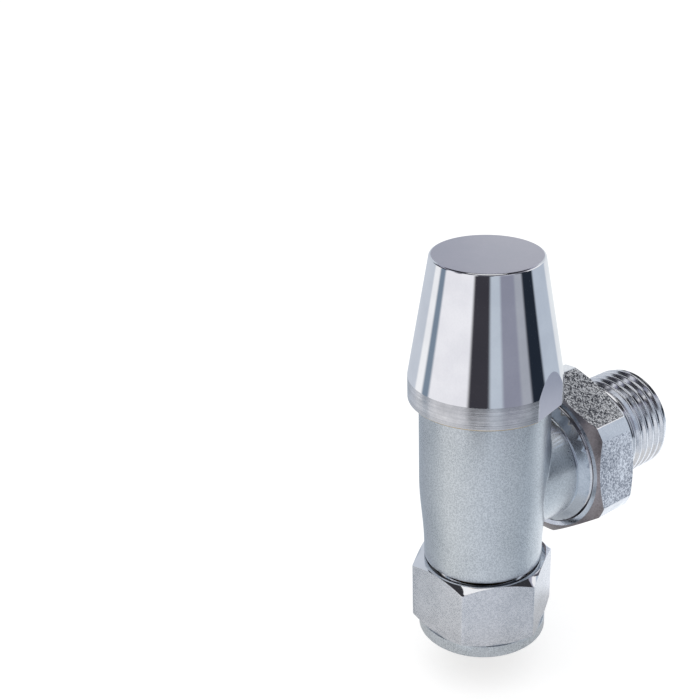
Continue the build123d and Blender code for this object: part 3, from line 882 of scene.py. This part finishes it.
@dataclass
class LockshieldCover(Piece):
    """Tall cone with a turned band, two spanner flats, and a thread and room inside."""

    band_height: float = 4.6
    crown_radius: float = 10.4
    crown_round: float = 0.5
    rim_break: float = 0.3
    flat_depth: float = 0.65
    flat_angle: float = -76.0
    bore: float = 11.25
    thread_bore: float = 11.05
    thread_depth: float = 0.6
    land: float = 2.6  # from the rim to the thread
    thread_length: float = 4.45
    groove_rise: float = 0.9
    groove_width: float = 1.2
    groove_radius: float = 12.26
    wall: float = 1.75
    roof: float = 2.0
    room_step: float = 1.3
    flat_round: float = 0.03
    edge_round: float = 0.12
    beside: float = 2.0  # degrees of close columns at each upright edge of a flat
    shoulder: float = 1.0  # under the crown, which the flats leave as it is
    foot_step: float = 0.2  # over the rim's break, where a flat's wall starts
    skin: float = 0.5  # round the bore, which the flats leave as it is

    name = "cover"
    node = "lockshield_cover"
    body = "cover"
    slot = "polished_chrome"
    finishes = (Finish.MIRROR, Finish.BAND, Finish.FLAT, Finish.CROWN, Finish.BRASS)

    def __post_init__(self) -> None:
        """Reads the cover's place from the frame."""
        extent = Extent.of(self.node)
        self.rim = extent.low.z
        self.crown = extent.high.z
        self.radius = extent.high.x
        self.band_top = self.rim + self.band_height
        self.slope = (self.radius - self.crown_radius) / (self.crown - self.band_top)
        self.flat_distance = self.radius - self.flat_depth
        self.foot = self.rim + self.rim_break + self.foot_step

    def columns(self) -> list[tuple[float, int]]:
        """Columns that stand closer at the flats' upright edges."""
        across = 2 * self.half_flat() - self.beside
        rest = TURN / 2 - 2 * self.beside - across
        return [(self.beside, 12), (across, 24), (self.beside, 12), (rest, 64)] * 2

    def half_flat(self) -> float:
        """Half the angle that a flat takes from the band, in degrees."""
        return atan2(sqrt(self.radius**2 - self.flat_distance**2), self.flat_distance) * 180 / pi

    def outside(self) -> Outline:
        """Outer outline, from the rim's inner edge to the crown's centre."""
        side = [
            (self.bore, self.rim),
            (self.radius - self.rim_break, self.rim),
            (self.radius, self.rim + self.rim_break),
            (self.radius, self.band_top),
            (self.crown_radius, self.crown),
            (0.0, self.crown),
        ]
        short_of_centre = (self.crown_radius - 3, self.crown)
        edges = soften([*side[:5], short_of_centre], self.edge_round)
        band = [p for p in edges if p[1] < self.crown - self.shoulder]
        near_centre = (0.4, self.crown)
        top = soften([band[-1], side[4], near_centre], self.crown_round, 8)
        middle = [(5.0, self.crown), near_centre, side[5]]
        return band + self._cone_rows(band[-1]) + top[1:-1] + middle

    def _cone_rows(self, start: tuple[float, float]) -> Outline:
        """Rows up the cone between the band's edge and the crown's."""
        radius, height = start
        out = self.crown_radius + self.shoulder * self.slope - radius
        up = self.crown - self.shoulder - height
        rows = 12
        return [(radius + out * k / rows, height + up * k / rows) for k in range(1, rows)]

    def inside(self) -> tuple[Outline, Thread, Outline]:
        """Inner outlines below and above the thread, and the thread between them."""
        thread_start = self.rim + self.land
        thread_end = thread_start + self.thread_length
        groove = self.rim + self.groove_rise
        below = [
            (self.bore, self.rim),
            (self.bore, groove),
            (self.groove_radius, groove),
            (self.groove_radius, groove + self.groove_width),
            (self.bore, groove + self.groove_width),
            (self.bore, thread_start - 0.4),
            (self.thread_bore, thread_start),
        ]
        thread = Thread(
            self.thread_bore, -self.thread_depth, COVER_PITCH, thread_start, thread_end,
        )
        roof_height = self.crown - self.roof
        step_height = thread_end + self.room_step
        above = [
            (self.thread_bore, thread_end),
            (self._room(step_height), step_height),
            (self._room(roof_height), roof_height),
            (0.0, roof_height),
        ]
        return below, thread, [above[0], *soften(above, 0.3)[1:]]

    def _room(self, height: float) -> float:
        """Inside radius at a height, one wall in from the cone."""
        return self.radius - (height - self.band_top) * self.slope - self.wall

    def press(self, angle: float, radius: float, height: float) -> tuple[float, float]:
        """Presses the two flats into the band and the foot of the cone.

        Args:
            angle: A point's direction, in radians.
            radius: Its radius on the round cover.
            height: Its height there.

        Returns:
            Its new radius and height.
        """
        least = 0.2  # cosine, so that no direction reaches a flat endlessly far out
        reach = self.flat_distance / max(cos(self.from_flat(angle)), least)
        if reach > self.radius + self.flat_round or radius <= self.bore + self.skin:
            return radius, height
        cut = self.radius - softest(self.radius, reach, self.flat_round)
        edge = self.band_top + cut / self.slope
        limit = self.crown - self.shoulder
        if height <= self.foot:
            return radius - cut, height
        if height <= self.band_top:
            share = (height - self.foot) / (self.band_top - self.foot)
            return radius - cut, self.foot + (edge - self.foot) * share
        if height >= limit:
            return radius, height
        share = (height - self.band_top) / (limit - self.band_top)
        new_height = edge + (limit - edge) * share
        return radius - (new_height - height) * self.slope, new_height

    def from_flat(self, angle: float) -> float:
        """Angle between this direction and the middle of the nearer flat, in radians."""
        return (angle - radians(self.flat_angle) + pi / 2) % pi - pi / 2

    def model(self) -> Mesh:
        """Models the cover."""
        first_edge = self.flat_angle - self.half_flat() - self.beside / 2
        turning = Turning(self.columns(), first_edge)
        turning.shape(turning.turn(self.outside()), self.press)
        below, thread, above = self.inside()
        turning.turn(below)
        turning.cut(thread)
        turning.turn(above)
        return turning.close()

    def takes(self, face: Facing) -> Finish:
        """Finish that a face takes."""
        height = face.middle.z
        up = face.normal.z
        if up > 0.995 and height > self.crown - 0.1:
            return Finish.CROWN
        if face.outwards < self.bore_look * face.radius or up < -0.3 and height > self.rim + 0.1:
            return Finish.BRASS
        level = 0.02  # most that a flat's faces look up or down, or aside
        aside = self.from_flat(atan2(face.normal.y, face.normal.x))
        if abs(up) < level and abs(aside) < level and face.radius < self.radius - level:
            return Finish.FLAT
        return Finish.BAND if height < self.band_top else Finish.MIRROR


@dataclass
class CompressionNut(Piece):
    """Hexagon nut on a round foot, with a thread for the body and a hole for the pipe."""

    foot_height: float = 2.6
    flats: float = 24.4
    thread_bore: float = 10.53
    thread_depth: float = 0.8
    mouth: float = 0.8
    shelf: float = 5.6
    shelf_radius: float = 8.31
    run_up: float = 0.3  # from the shelf to the thread
    hole: float = 7.7227
    lip: float = 2.4
    foot_break: float = 0.3
    foot_round: float = 0.12
    bar_round: float = 0.14

    name = "inlet_nut"
    node = "compression_nut"
    body = "compression_nut"
    slot = "inlet_plating"
    finishes = (Finish.BLASTED, Finish.MIRROR, Finish.SATIN, Finish.BRASS, Finish.PAINTED_SHADE)

    def __post_init__(self) -> None:
        """Reads the nut's place from the frame."""
        extent = Extent.of(self.node)
        self.top = extent.high.z
        self.foot_radius = extent.high.x
        crest = extent.high.y - 0.06
        self.hexagon = Hexagon(self.flats, crest, first_corner=30.0, rounding=0.12)
        face_radius = self.flats / 2 - 0.02
        self.bar = Chamfered(self.hexagon, face_radius, self.foot_height, self.top, zone=1.3)

    def model(self) -> Mesh:
        """Models the nut."""
        turning = Turning(self.hexagon.columns(), self.hexagon.first_corner)
        foot = [
            (self.hole, 0.0),
            (self.foot_radius - self.foot_break, 0.0),
            (self.foot_radius, self.foot_break),
            (self.foot_radius, self.foot_height),
            (self.bar.face_radius, self.foot_height),
        ]
        turning.turn(soften(foot, self.foot_round))
        mouth = (self.thread_bore + self.mouth, self.top)
        bar = [*self.bar.outline(), mouth]
        turning.shape(turning.turn(soften(bar, self.bar_round, 4)), self.bar.rule)
        thread_start = self.shelf + self.run_up
        thread_end = self.top - self.mouth
        turning.turn([mouth, (self.thread_bore, thread_end)])
        turning.cut(Thread(
            self.thread_bore, -self.thread_depth, PIPE_PITCH, thread_start, thread_end,
        ))
        turning.turn([
            (self.thread_bore, thread_start),
            (self.thread_bore, self.shelf),
            (self.shelf_radius, self.shelf),
            (self.hole, self.lip),
            (self.hole, 0.0),
        ])
        return turning.close()

    def takes(self, face: Facing) -> Finish:
        """Finish that a face takes."""
        height = face.middle.z
        inside = face.radius < self.thread_bore and 0.1 < height < self.top - 0.1
        if face.outwards < self.bore_look * face.radius or inside:
            # the last 1.2 mm of the mouth takes the dark chrome, painted shade inside the mouth
            shaded_mouth = 1.2
            return Finish.BRASS if height < self.top - shaded_mouth else Finish.PAINTED_SHADE
        if height < self.foot_height + 0.05:
            return Finish.SATIN
        return Finish.BLASTED if abs(face.normal.z) < 0.3 else Finish.MIRROR


@dataclass
class UnionNut(Piece):
    """Union nut with turned corners, blasted flats, and a lip behind the tail's collar."""

    flats: float = 30.0
    corner_radius: float = 16.6
    face_radius: float = 14.5
    first_corner: float = 24.7
    thread_bore: float = 13.27
    mouth: float = 0.3
    thread_depth: float = 0.8
    lip_start: float = 8.05  # from the nut's near face
    lip_bore: float = 10.63
    run_up: float = 0.4  # from the thread to the lip
    bar_round: float = 0.12

    name = "union_collar_nut"
    node = "union_nut"
    body = "union_nut"
    slot = "nut_plating"
    finishes = (Finish.UP_FLAT_LIT, Finish.TURNED, Finish.BRASS, Finish.SIDE_FLAT_DIMMED, Finish.PAINTED_SHADE)
    line = Line.OUTLET

    def __post_init__(self) -> None:
        """Reads the nut's place from the frame."""
        extent = Extent.of(self.node)
        self.near = extent.low.x
        self.far = extent.high.x
        self.lip = self.near + self.lip_start
        self.hexagon = Hexagon(self.flats, self.corner_radius, self.first_corner, rounding=0.05)
        self.bar = Chamfered(self.hexagon, self.face_radius, self.near, self.far, zone=1.5)

    def model(self) -> Mesh:
        """Models the nut."""
        turning = Turning(self.hexagon.columns(), self.first_corner)
        mouth = (self.thread_bore + self.mouth, self.near)
        bar = [mouth, *self.bar.outline(), (self.lip_bore, self.far)]
        turning.shape(turning.turn(soften(bar, self.bar_round, 4)), self.bar.rule)
        thread_start = self.near + self.mouth
        thread_end = self.lip - self.run_up
        turning.turn([mouth, (self.thread_bore, thread_start)])
        turning.cut(Thread(
            self.thread_bore, -self.thread_depth, PIPE_PITCH, thread_start, thread_end,
        ))
        turning.turn([
            (self.thread_bore, thread_end),
            (self.thread_bore, self.lip),
            (self.lip_bore, self.lip),
            (self.lip_bore, self.far),
        ])
        return turning.close()

    def takes(self, face: Facing) -> Finish:
        """Finish that a face takes."""
        if face.outwards < self.bore_look:
            # the threaded bore takes the dark chrome, painted shade inside the nut's mouth
            past_thread = face.middle.z > self.lip - self.run_up
            return Finish.BRASS if past_thread else Finish.PAINTED_SHADE
        if self.hexagon.on_flat(face.normal):
            # the flat that faces up at rest takes the lit copy, painted glitter of light from above;
            # the other flats take the dimmer copy
            return Finish.UP_FLAT_LIT if face.normal.y > 0.5 else Finish.SIDE_FLAT_DIMMED
        # the chamfer that faces the body takes the dark chrome, a painted reflection of the body's
        # dark gap
        return Finish.PAINTED_SHADE if -0.95 < face.normal.z < -0.3 else Finish.TURNED


@dataclass
class TailPipe(Piece):
    """Radiator tail: sealing nose, collar, plain shank, pipe thread and key socket."""

    bore: float = 5.9
    nose_radius: float = 8.35
    groove_start: float = 1.15  # from the nose's end
    groove_width: float = 1.5
    groove_depth: float = 1.26
    nose_length: float = 3.8
    collar_thickness: float = 2.45
    shank_radius: float = 9.95
    thread_length: float = 11.8
    thread_radius: float = 10.48
    thread_depth: float = 1.05
    end_radius: float = 9.35
    key_flats: float = 12.0
    key_depth: float = 9.0
    edge_break: float = 0.3
    edge_round: float = 0.12

    name = "radiator_tail"
    node = "tail_pipe"
    body = "tail"
    slot = "tail_plating"
    finishes = (Finish.BLASTED, Finish.TURNED, Finish.BRASS)
    line = Line.OUTLET
    sharp = 50.0

    def __post_init__(self) -> None:
        """Reads the tail's place from the frame."""
        extent = Extent.of(self.node)
        self.nose = extent.low.x
        self.end = extent.high.x
        self.collar_radius = extent.high.y
        self.key_corner = self.key_flats / sqrt(3)

    def key_rule(self, angle: float, radius: float, height: float) -> tuple[float, float]:
        """Draws the round socket in to a hexagon for the key."""
        chamfer = height > self.end - 0.05 and radius > self.key_corner
        if radius <= self.bore + 0.01 or chamfer:
            return radius, height
        from_flat = (angle % (pi / 3)) - pi / 6
        share = self.key_flats / 2 / cos(from_flat) / self.key_corner
        return radius * share, height

    def model(self) -> Mesh:
        """Models the tail."""
        turning = Turning(even(240))
        edge = self.edge_break
        collar = self.nose + self.nose_length
        collar_end = collar + self.collar_thickness
        groove = self.nose + self.groove_start
        groove_end = groove + self.groove_width
        groove_radius = self.nose_radius - self.groove_depth
        thread_start = self.end - self.thread_length
        outside = [
            (self.bore, self.nose),
            (self.nose_radius - edge, self.nose),
            (self.nose_radius, self.nose + edge),
            (self.nose_radius, groove),
            (groove_radius, groove),
            (groove_radius, groove_end),
            (self.nose_radius, groove_end),
            (self.nose_radius, collar),
            (self.collar_radius - edge, collar),
            (self.collar_radius, collar + edge),
            (self.collar_radius, collar_end),
            (self.shank_radius, collar_end),
            (self.shank_radius, thread_start),
        ]
        turning.turn(soften(outside, self.edge_round))
        turning.cut(Thread(
            self.thread_radius, self.thread_depth, PIPE_PITCH, thread_start, self.end,
            run_in=1.4, run_out=1.1, start_radius=self.shank_radius, end_radius=self.end_radius,
        ))
        mouth = (self.key_corner + edge, self.end)
        turning.turn([(self.end_radius, self.end), mouth])
        key_end = self.end - self.key_depth
        socket = [
            mouth,
            (self.key_corner, self.end - edge),
            (self.key_corner, key_end),
            (self.bore, key_end),
            (self.bore, self.nose),
        ]
        turning.shape(turning.turn(socket), self.key_rule)
        return turning.close()

    def takes(self, face: Facing) -> Finish:
        """Finish that a face takes."""
        height = face.middle.z
        in_socket = face.radius < self.key_corner and height < self.end - 1
        if face.outwards < self.bore_look or in_socket:
            return Finish.BRASS
        return Finish.TURNED if height > self.end - self.thread_length else Finish.BLASTED


@dataclass
class ValveBody(Piece):
    """Barrel and outlet boss as forged, with their three outer threads cut."""

    spigot_radius: float = 10.48
    spigot_chamfer: float = 0.8
    spigot_thread_end: float = 13.59
    pipe_thread_depth: float = 0.85
    cover_thread_depth: float = 0.65
    cover_thread_radius: float = 11.0
    cover_thread_start: float = 51.85
    flare_end: float = 15.5
    boss_radius: float = 11.4
    barrel_top: float = 49.45
    bore_limit: float = 9.2
    neck: float = 4.6  # from the inlet's line to where the boss leaves the barrel
    neck_face: float = 12.2
    fillet: float = 2.0  # round the boss, which takes the boss's finish
    gap: float = 0.06  # between a cut thread and the body's own edge, bridged at the end

    name = "angle_body"
    node = "valve_body"
    body = "body"
    slot = "satin_chrome"
    finishes = (Finish.SATIN, Finish.BOSS, Finish.TURNED, Finish.BRASS)
    sharp = 28.0

    def __post_init__(self) -> None:
        """Reads the body's place from the frame."""
        extent = Extent.of(self.node)
        self.to_outlet = Line.OUTLET.place().inverted()
        self.nut_top = Extent.of("compression_nut").high.z
        self.foot = extent.low.z
        self.top = extent.high.z
        self.face = extent.high.x
        self.union_radius = extent.high.y

    def threads(self) -> list[tuple[Line, Thread]]:
        """The three outer threads and the lines that they run round."""
        chamfer = self.spigot_chamfer
        inlet = Thread(
            self.spigot_radius, self.pipe_thread_depth, PIPE_PITCH, self.foot + chamfer,
            self.spigot_thread_end, run_in=0.5,
        )
        cover = Thread(
            self.cover_thread_radius, self.cover_thread_depth, COVER_PITCH, self.cover_thread_start,
            self.top - chamfer, run_in=0.5, run_out=0.5,
        )
        union = Thread(
            self.union_radius, self.pipe_thread_depth, PIPE_PITCH, self.flare_end,
            self.face - chamfer, run_in=0.3, run_out=0.5,
        )
        return [(Line.INLET, inlet), (Line.INLET, cover), (Line.OUTLET, union)]

    def model(self) -> Mesh:
        """Models the body from its CAD shape, with threads in place of plain cylinders."""
        mesh = bmesh.new()
        mesh.from_mesh(frame["nodes"][self.node].data)
        bmesh.ops.transform(mesh, matrix=Matrix.Scale(1 / MM, 4), verts=mesh.verts)
        bmesh.ops.remove_doubles(mesh, verts=mesh.verts, dist=WELD * 2)
        for line, thread in self.threads():
            self._cut(mesh, line, thread)
        bmesh.ops.remove_doubles(mesh, verts=mesh.verts, dist=WELD)
        bmesh.ops.recalc_face_normals(mesh, faces=mesh.faces)
        return mesh

    def _cut(self, mesh: Mesh, line: Line, thread: Thread) -> None:
        """Takes a plain cylinder out of the body and bridges a thread into its place.

        Args:
            mesh: The body, in millimetres.
            line: The cylinder's line.
            thread: The thread that takes its place.
        """
        place = line.place()
        back = place.inverted()
        plain = [f for f in mesh.faces if all(self._on(back @ v.co, thread) for v in f.verts)]
        bmesh.ops.delete(mesh, geom=plain, context="FACES")
        turning = Turning(even(192))
        turning.cut(replace(thread, start=thread.start + self.gap, end=thread.end - self.gap))
        cut = turning.weld()
        bmesh.ops.transform(cut, matrix=place, verts=cut.verts)
        pour(cut, mesh)
        for height in (thread.start, thread.end):
            loops = [
                e for e in mesh.edges
                if e.is_boundary and all(self._near(back @ v.co, thread, height) for v in e.verts)
            ]
            bmesh.ops.bridge_loops(mesh, edges=loops)

    @staticmethod
    def _on(point: Vector, thread: Thread) -> bool:
        """True for a point on the plain cylinder that the thread replaces."""
        if not thread.start - 0.01 <= point.z <= thread.end + 0.01:
            return False
        return abs(hypot(point.x, point.y) - thread.crest) < 0.005

    def _near(self, point: Vector, thread: Thread, height: float) -> bool:
        """True for a point on one of the two circles beside an end of the thread."""
        on_crest = abs(hypot(point.x, point.y) - thread.crest) < 0.01
        return on_crest and abs(point.z - height) < self.gap * 1.5

    def takes(self, face: Facing) -> Finish:
        """Finish that a face takes."""
        middle = face.middle
        across = self.to_outlet @ middle
        from_outlet = hypot(across.x, across.y)
        in_outlet = middle.x > 0 and from_outlet < self.bore_limit
        if face.radius < self.bore_limit or in_outlet and abs(face.normal.x) < 0.9:
            return Finish.BRASS
        below_barrel = middle.z < self.nut_top
        if middle.x > self.flare_end or middle.z > self.barrel_top + 0.05 or below_barrel:
            return Finish.TURNED
        on_boss = middle.x > self.neck and across.z > self.neck_face
        if on_boss and from_outlet < self.boss_radius + self.fillet:
            return Finish.BOSS
        return Finish.SATIN


@dataclass
class SeatRing(Piece):
    """Thin brass ring that the cover's rim closes on."""

    bore: float = 11.25
    edge: float = 0.12

    name = "seat_ring"
    node = "cover_seat_ring"
    body = "cover_ring"
    slot = "turned_brass"
    finishes = (Finish.BRASS,)

    def model(self) -> Mesh:
        """Models the ring."""
        extent = Extent.of(self.node)
        radius = extent.high.x
        low, high = extent.low.z, extent.high.z
        middle = (self.bore, (low + high) / 2)
        section = [middle, (self.bore, low), (radius, low), (radius, high), (self.bore, high), middle]
        turning = Turning(even(192))
        turning.turn(soften(section, self.edge))
        return turning.close()


@dataclass
class InnerParts:
    """Headwork, seals and olive, which keep their CAD shapes and take their finishes."""

    brass = (
        "bonnet", "gland_nut", "packing_follower", "spindle", "valve_plug", "washer_screw",
        "compression_olive",
    )
    rubber = ("seat_washer", "bonnet_o_ring", "spindle_o_rings", "cover_o_ring", "tail_o_ring")

    def build(self) -> None:
        """Dresses each CAD node that still shows."""
        finishes = {
            Finish.BRASS: self.brass,
            Finish.STEEL: ("spindle_circlip",),
            Finish.PACKING: ("gland_packing",),
            Finish.WASHER: ("thrust_washer",),
            Finish.RUBBER: self.rubber,
        }
        for finish, names in finishes.items():
            for name in names:
                line = Line.OUTLET if name == "tail_o_ring" else Line.INLET
                for slot in frame["nodes"][name].material_slots:
                    slot.material = finish.on(line)
                log.info("%s keeps its shape and takes %s", name, finish.value.name)


# ------------------------------------------------------------------ studio
@dataclass
class Studio:
    """Pale floor, soft light, a reflecting tent round the valve, and the camera."""

    bearing: float = -42.32  # degrees that the view is turned from the outlet's own front
    elevation: float = 24.26  # degrees
    distance: float = 234.24
    aim_right: float = -8.581
    aim_height: float = 59.28
    sensor: float = 36.0  # width of the sensor and, as the picture is square, its height
    lens: float = 66.243
    shift: float = -0.1269  # share of the picture's width that the valve stands to the right
    tent_foot: float = 32.0  # radius at the floor
    tent_top: float = 330.0
    tent_height: float = 420.0
    skylight: float = 120.0  # radius of the bright panel overhead
    floor_room: float = 0.3  # between the floor and the inlet nut's lowest place
    floor_radius: float = 6.0  # metres
    paper: tuple[float, float] = (0.62, 0.64)  # darkest and lightest grey of the floor
    paper_glow: float = 0.58  # what brings the floor up to white for the camera
    paper_gloss: float = 0.35  # share of the glow that reflections see
    sky: float = 0.75  # the world's light on the valve, where white itself is 1
    lamp_place: tuple[float, float, float] = (-0.35, -0.25, 0.9)  # metres
    lamp_size: float = 1.6  # metres
    lamp_power: float = 2.0

    low_zone: float = 28.6  # height under which the tent shows the low tones
    high_zone: float = 200.0  # height over which it shows the ceiling's tone
    rim_zone: float = 108.0  # height over which it shows the rim panels
    rim_blend: float = 8.0
    low_blend: float = 1.0  # half the height in which the low tones end
    high_blend: float = 22.0
    ceiling: Colour = (0.38, 0.38, 0.46)
    lid: Colour = (0.04, 0.04, 0.045)  # round the bright panel overhead
    panel_edge: float = 0.006  # half the width of a change of tone, as a share of the turn

    # degrees from the view's own direction, and the tone of the panel that starts there
    panels = (
        (-180, (0.62, 0.66, 0.72)),
        (-110, (1.0, 1.0, 1.0)),
        (-94, (0.22, 0.28, 0.35)),
        (-81, (0.95, 0.94, 0.96)),
        (-24, (0.048, 0.046, 0.056)),
        (3, (0.56, 0.62, 0.69)),
        (20, (0.30, 0.31, 0.38)),
        (45, (0.42, 0.44, 0.49)),
        (60, (0.018, 0.025, 0.038)),
        (84, (0.52, 0.58, 0.66)),
        (125, (0.85, 0.88, 0.90)),
    )

    # the same between the panels and the ceiling, which only the crown's edge sees from in front
    rim_panels = (
        (-180, (0.60, 0.64, 0.70)),
        (-128, (0.02, 0.022, 0.03)),
        (-84, (0.95, 0.96, 1.0)),
        (-66, (0.03, 0.03, 0.035)),
        (-52, (1.0, 1.0, 1.0)),
        (-20, (0.035, 0.035, 0.04)),
        (10, (0.55, 0.57, 0.62)),
        (52, (0.02, 0.025, 0.03)),
        (78, (1.0, 1.0, 1.0)),
        (130, (0.70, 0.74, 0.78)),
    )

    # the same for the soft tones low on the tent, which flow into each other
    low_tones = (
        (-180, (0.50, 0.56, 0.64)),
        (-150, (0.48, 0.54, 0.61)),
        (-119, (0.50, 0.53, 0.58)),
        (-89, (0.61, 0.64, 0.67)),
        (-60, (0.94, 0.94, 0.93)),
        (0, (0.84, 0.87, 0.92)),
        (50, (0.61, 0.65, 0.70)),
        (72, (0.52, 0.57, 0.63)),
        (97, (0.90, 0.95, 1.00)),
        (130, (1.15, 1.18, 1.22)),
    )

    def build(self) -> None:
        """Builds the camera, the world, the floor, the tent with its lid, and the lamp."""
        self._camera()
        self._world()
        self._floor()
        self._tent()
        self._disc("lid", self.tent_top, self.tent_height, self.lid)
        self._disc("skylight", self.skylight, self.tent_height - 1, (1.0, 1.0, 1.0))
        self._lights()
        scene = bpy.context.scene
        scene.view_settings.view_transform = "Standard"

    def _camera(self) -> None:
        """Adds the camera at its bearing, with a shift for the framing."""
        turned = Matrix.Rotation(radians(self.bearing), 4, "Z")
        elevation = radians(self.elevation)
        back = Vector((0, -cos(elevation), sin(elevation)))
        aim = Vector((self.aim_right, 0, self.aim_height))
        upright = Matrix.Rotation(pi / 2 - elevation, 4, "X")
        data = bpy.data.cameras.new("camera")
        data.sensor_width = self.sensor
        data.lens = self.lens
        data.shift_x = self.shift
        data.clip_start = 0.01
        data.dof.use_dof = False
        camera = link("camera", data)
        place = Matrix.Translation((aim + back * self.distance) * MM) @ upright
        camera.matrix_world = turned @ place
        bpy.context.scene.camera = camera

    def _world(self) -> None:
        """Even pale light, and plain white behind the valve and in its reflections."""
        world = bpy.data.worlds.new("world")
        bpy.context.scene.world = world
        shader = Shader(world)
        strength = self.sky + shader.seen(1.0) * (1 - self.sky)
        sockets = {"Color": (1, 1, 1, 1), "Strength": strength}
        background = shader.node("ShaderNodeBackground", {}, sockets)
        shader.node("ShaderNodeOutputWorld", {}, {"Surface": background.outputs[0]})

    def floor_height(self) -> float:
        """Height of the floor, in metres, just under the inlet nut when it is let down."""
        drop = next(joint for joint in frame["joints"] if joint["name"] == "olive_drop")
        return -max(drop["range_m"]) - self.floor_room * MM

    def _floor(self) -> None:
        """Large pale floor that looks white but keeps the valve's soft shadow."""
        mesh = bmesh.new()
        low = Matrix.Translation((0, 0, self.floor_height()))
        bmesh.ops.create_circle(
            mesh, cap_ends=True, segments=64, radius=self.floor_radius, matrix=low,
        )
        floor = show("floor", mesh)
        shader = Shader(bpy.data.materials.new("floor_paper"))
        fibres = shader.noise(shader.millimetres(Line.INLET), 1.5)
        dark, light = self.paper
        colour = shader.mix(fibres, (dark,) * 3, (light,) * 3)
        glow = shader.seen(self.paper_gloss) * self.paper_glow
        diffuse = shader.node("ShaderNodeBsdfDiffuse", {}, {"Color": colour})
        emission = shader.node("ShaderNodeEmission", {}, {"Strength": glow})
        both = shader.node("ShaderNodeAddShader", {}, {0: diffuse.outputs[0], 1: emission.outputs[0]})
        shader.node("ShaderNodeOutputMaterial", {}, {"Surface": both.outputs[0]})
        floor.data.materials.append(shader.owner)

    def _tent(self) -> None:
        """Leaning panels round the valve that only its reflections see."""
        mesh = bmesh.new()
        bmesh.ops.create_cone(
            mesh, cap_ends=False, segments=180, radius1=self.tent_foot * MM,
            radius2=self.tent_top * MM, depth=self.tent_height * MM,
            matrix=Matrix.Translation((0, 0, self.floor_height() + self.tent_height / 2 * MM)),
        )
        shader = Shader(bpy.data.materials.new("tent_panels"))
        texture = shader.node("ShaderNodeTexCoord")
        toward = radians(self.bearing) - pi / 2
        settings = {"vector_type": "TEXTURE"}
        sockets = {"Vector": texture.outputs["Object"], "Rotation": (0, 0, toward)}
        mapped = shader.node("ShaderNodeMapping", settings, sockets)
        settings = {"gradient_type": "RADIAL"}
        around = shader.node("ShaderNodeTexGradient", settings, {0: mapped.outputs[0]}).outputs[1]
        split = shader.node("ShaderNodeSeparateXYZ", {}, {0: texture.outputs["Object"]})
        height = shader.signal(split.outputs[2]) * (1 / MM)
        layers = (
            (self.low_zone, self.low_blend, shader.ramp(around, self._panel_stops(self.panels))),
            (self.rim_zone, self.rim_blend, shader.ramp(around, self._panel_stops(self.rim_panels))),
            (self.high_zone, self.high_blend, self.ceiling),
        )
        colour = shader.ramp(around, [(at / TURN + 0.5, tone) for at, tone in self.low_tones])
        for zone, blend, layer in layers:
            colour = shader.mix(height.between(zone - blend, zone + blend), colour, layer)
        self._reflected("tent", mesh, shader, colour)

    def _disc(self, name: str, radius: float, height: float, tone: Colour) -> None:
        """Adds a round panel that lies level over the valve.

        Args:
            name: The new object's name.
            radius: The panel's radius, in millimetres.
            height: Its height over the floor, in millimetres.
            tone: Its tone, which varies a little over the panel.
        """
        mesh = bmesh.new()
        place = Matrix.Translation((0, 0, self.floor_height() + height * MM))
        bmesh.ops.create_circle(
            mesh, cap_ends=True, segments=90, radius=radius * MM, matrix=place,
        )
        shader = Shader(bpy.data.materials.new(f"{name}_panel"))
        weave = shader.noise(shader.millimetres(Line.INLET), 20.0)
        darkest = 0.97  # share of the tone
        darker = tuple(channel * darkest for channel in tone)
        self._reflected(name, mesh, shader, shader.mix(weave, darker, tone))

    @staticmethod
    def _reflected(name: str, mesh: Mesh, shader: Shader, colour: Socket) -> None:
        """Adds a glowing surface that only reflections see.

        Args:
            name: The new object's name.
            mesh: Its shape, in metres.
            shader: Its tree, still without an output.
            colour: What it glows with.
        """
        panel = show(name, mesh)
        panel.visible_camera = False
        panel.visible_diffuse = False
        panel.visible_transmission = False
        panel.visible_shadow = False
        glow = shader.node("ShaderNodeEmission", {}, {"Color": colour, "Strength": 1.0})
        shader.node("ShaderNodeOutputMaterial", {}, {"Surface": glow.outputs[0]})
        shader.owner.cycles.emission_sampling = "NONE"
        panel.data.materials.append(shader.owner)

    def _panel_stops(self, panels: Stops) -> Stops:
        """Ramp stops of a row of panels, with a narrow edge on each side of a change.

        Args:
            panels: Where each panel starts, in degrees, and its tone.

        Returns:
            The stops.
        """
        stops = []
        for (start, tone), (_, before) in zip(panels[1:], panels):
            place = start / TURN + 0.5
            stops += [(place - self.panel_edge, before), (place + self.panel_edge, tone)]
        return stops

    def _lights(self) -> None:
        """One broad soft lamp overhead for the floor's shadow."""
        data = bpy.data.lights.new("soft_lamp", "AREA")
        data.shape = "DISK"
        data.size = self.lamp_size
        data.energy = self.lamp_power
        lamp = link("soft_lamp", data)
        lamp.location = self.lamp_place
        lamp.rotation_euler = Vector(self.lamp_place).to_track_quat("Z", "Y").to_euler()
        lamp.visible_glossy = False


def main() -> None:
    logging.basicConfig(level=logging.INFO, format="%(message)s")
    for part in (ValveBody(), SeatRing(), LockshieldCover(), CompressionNut(), UnionNut(), TailPipe()):
        part.build()
    InnerParts().build()
    Studio().build()
    bpy.context.view_layer.update()


if __name__ == "__main__":
    main()
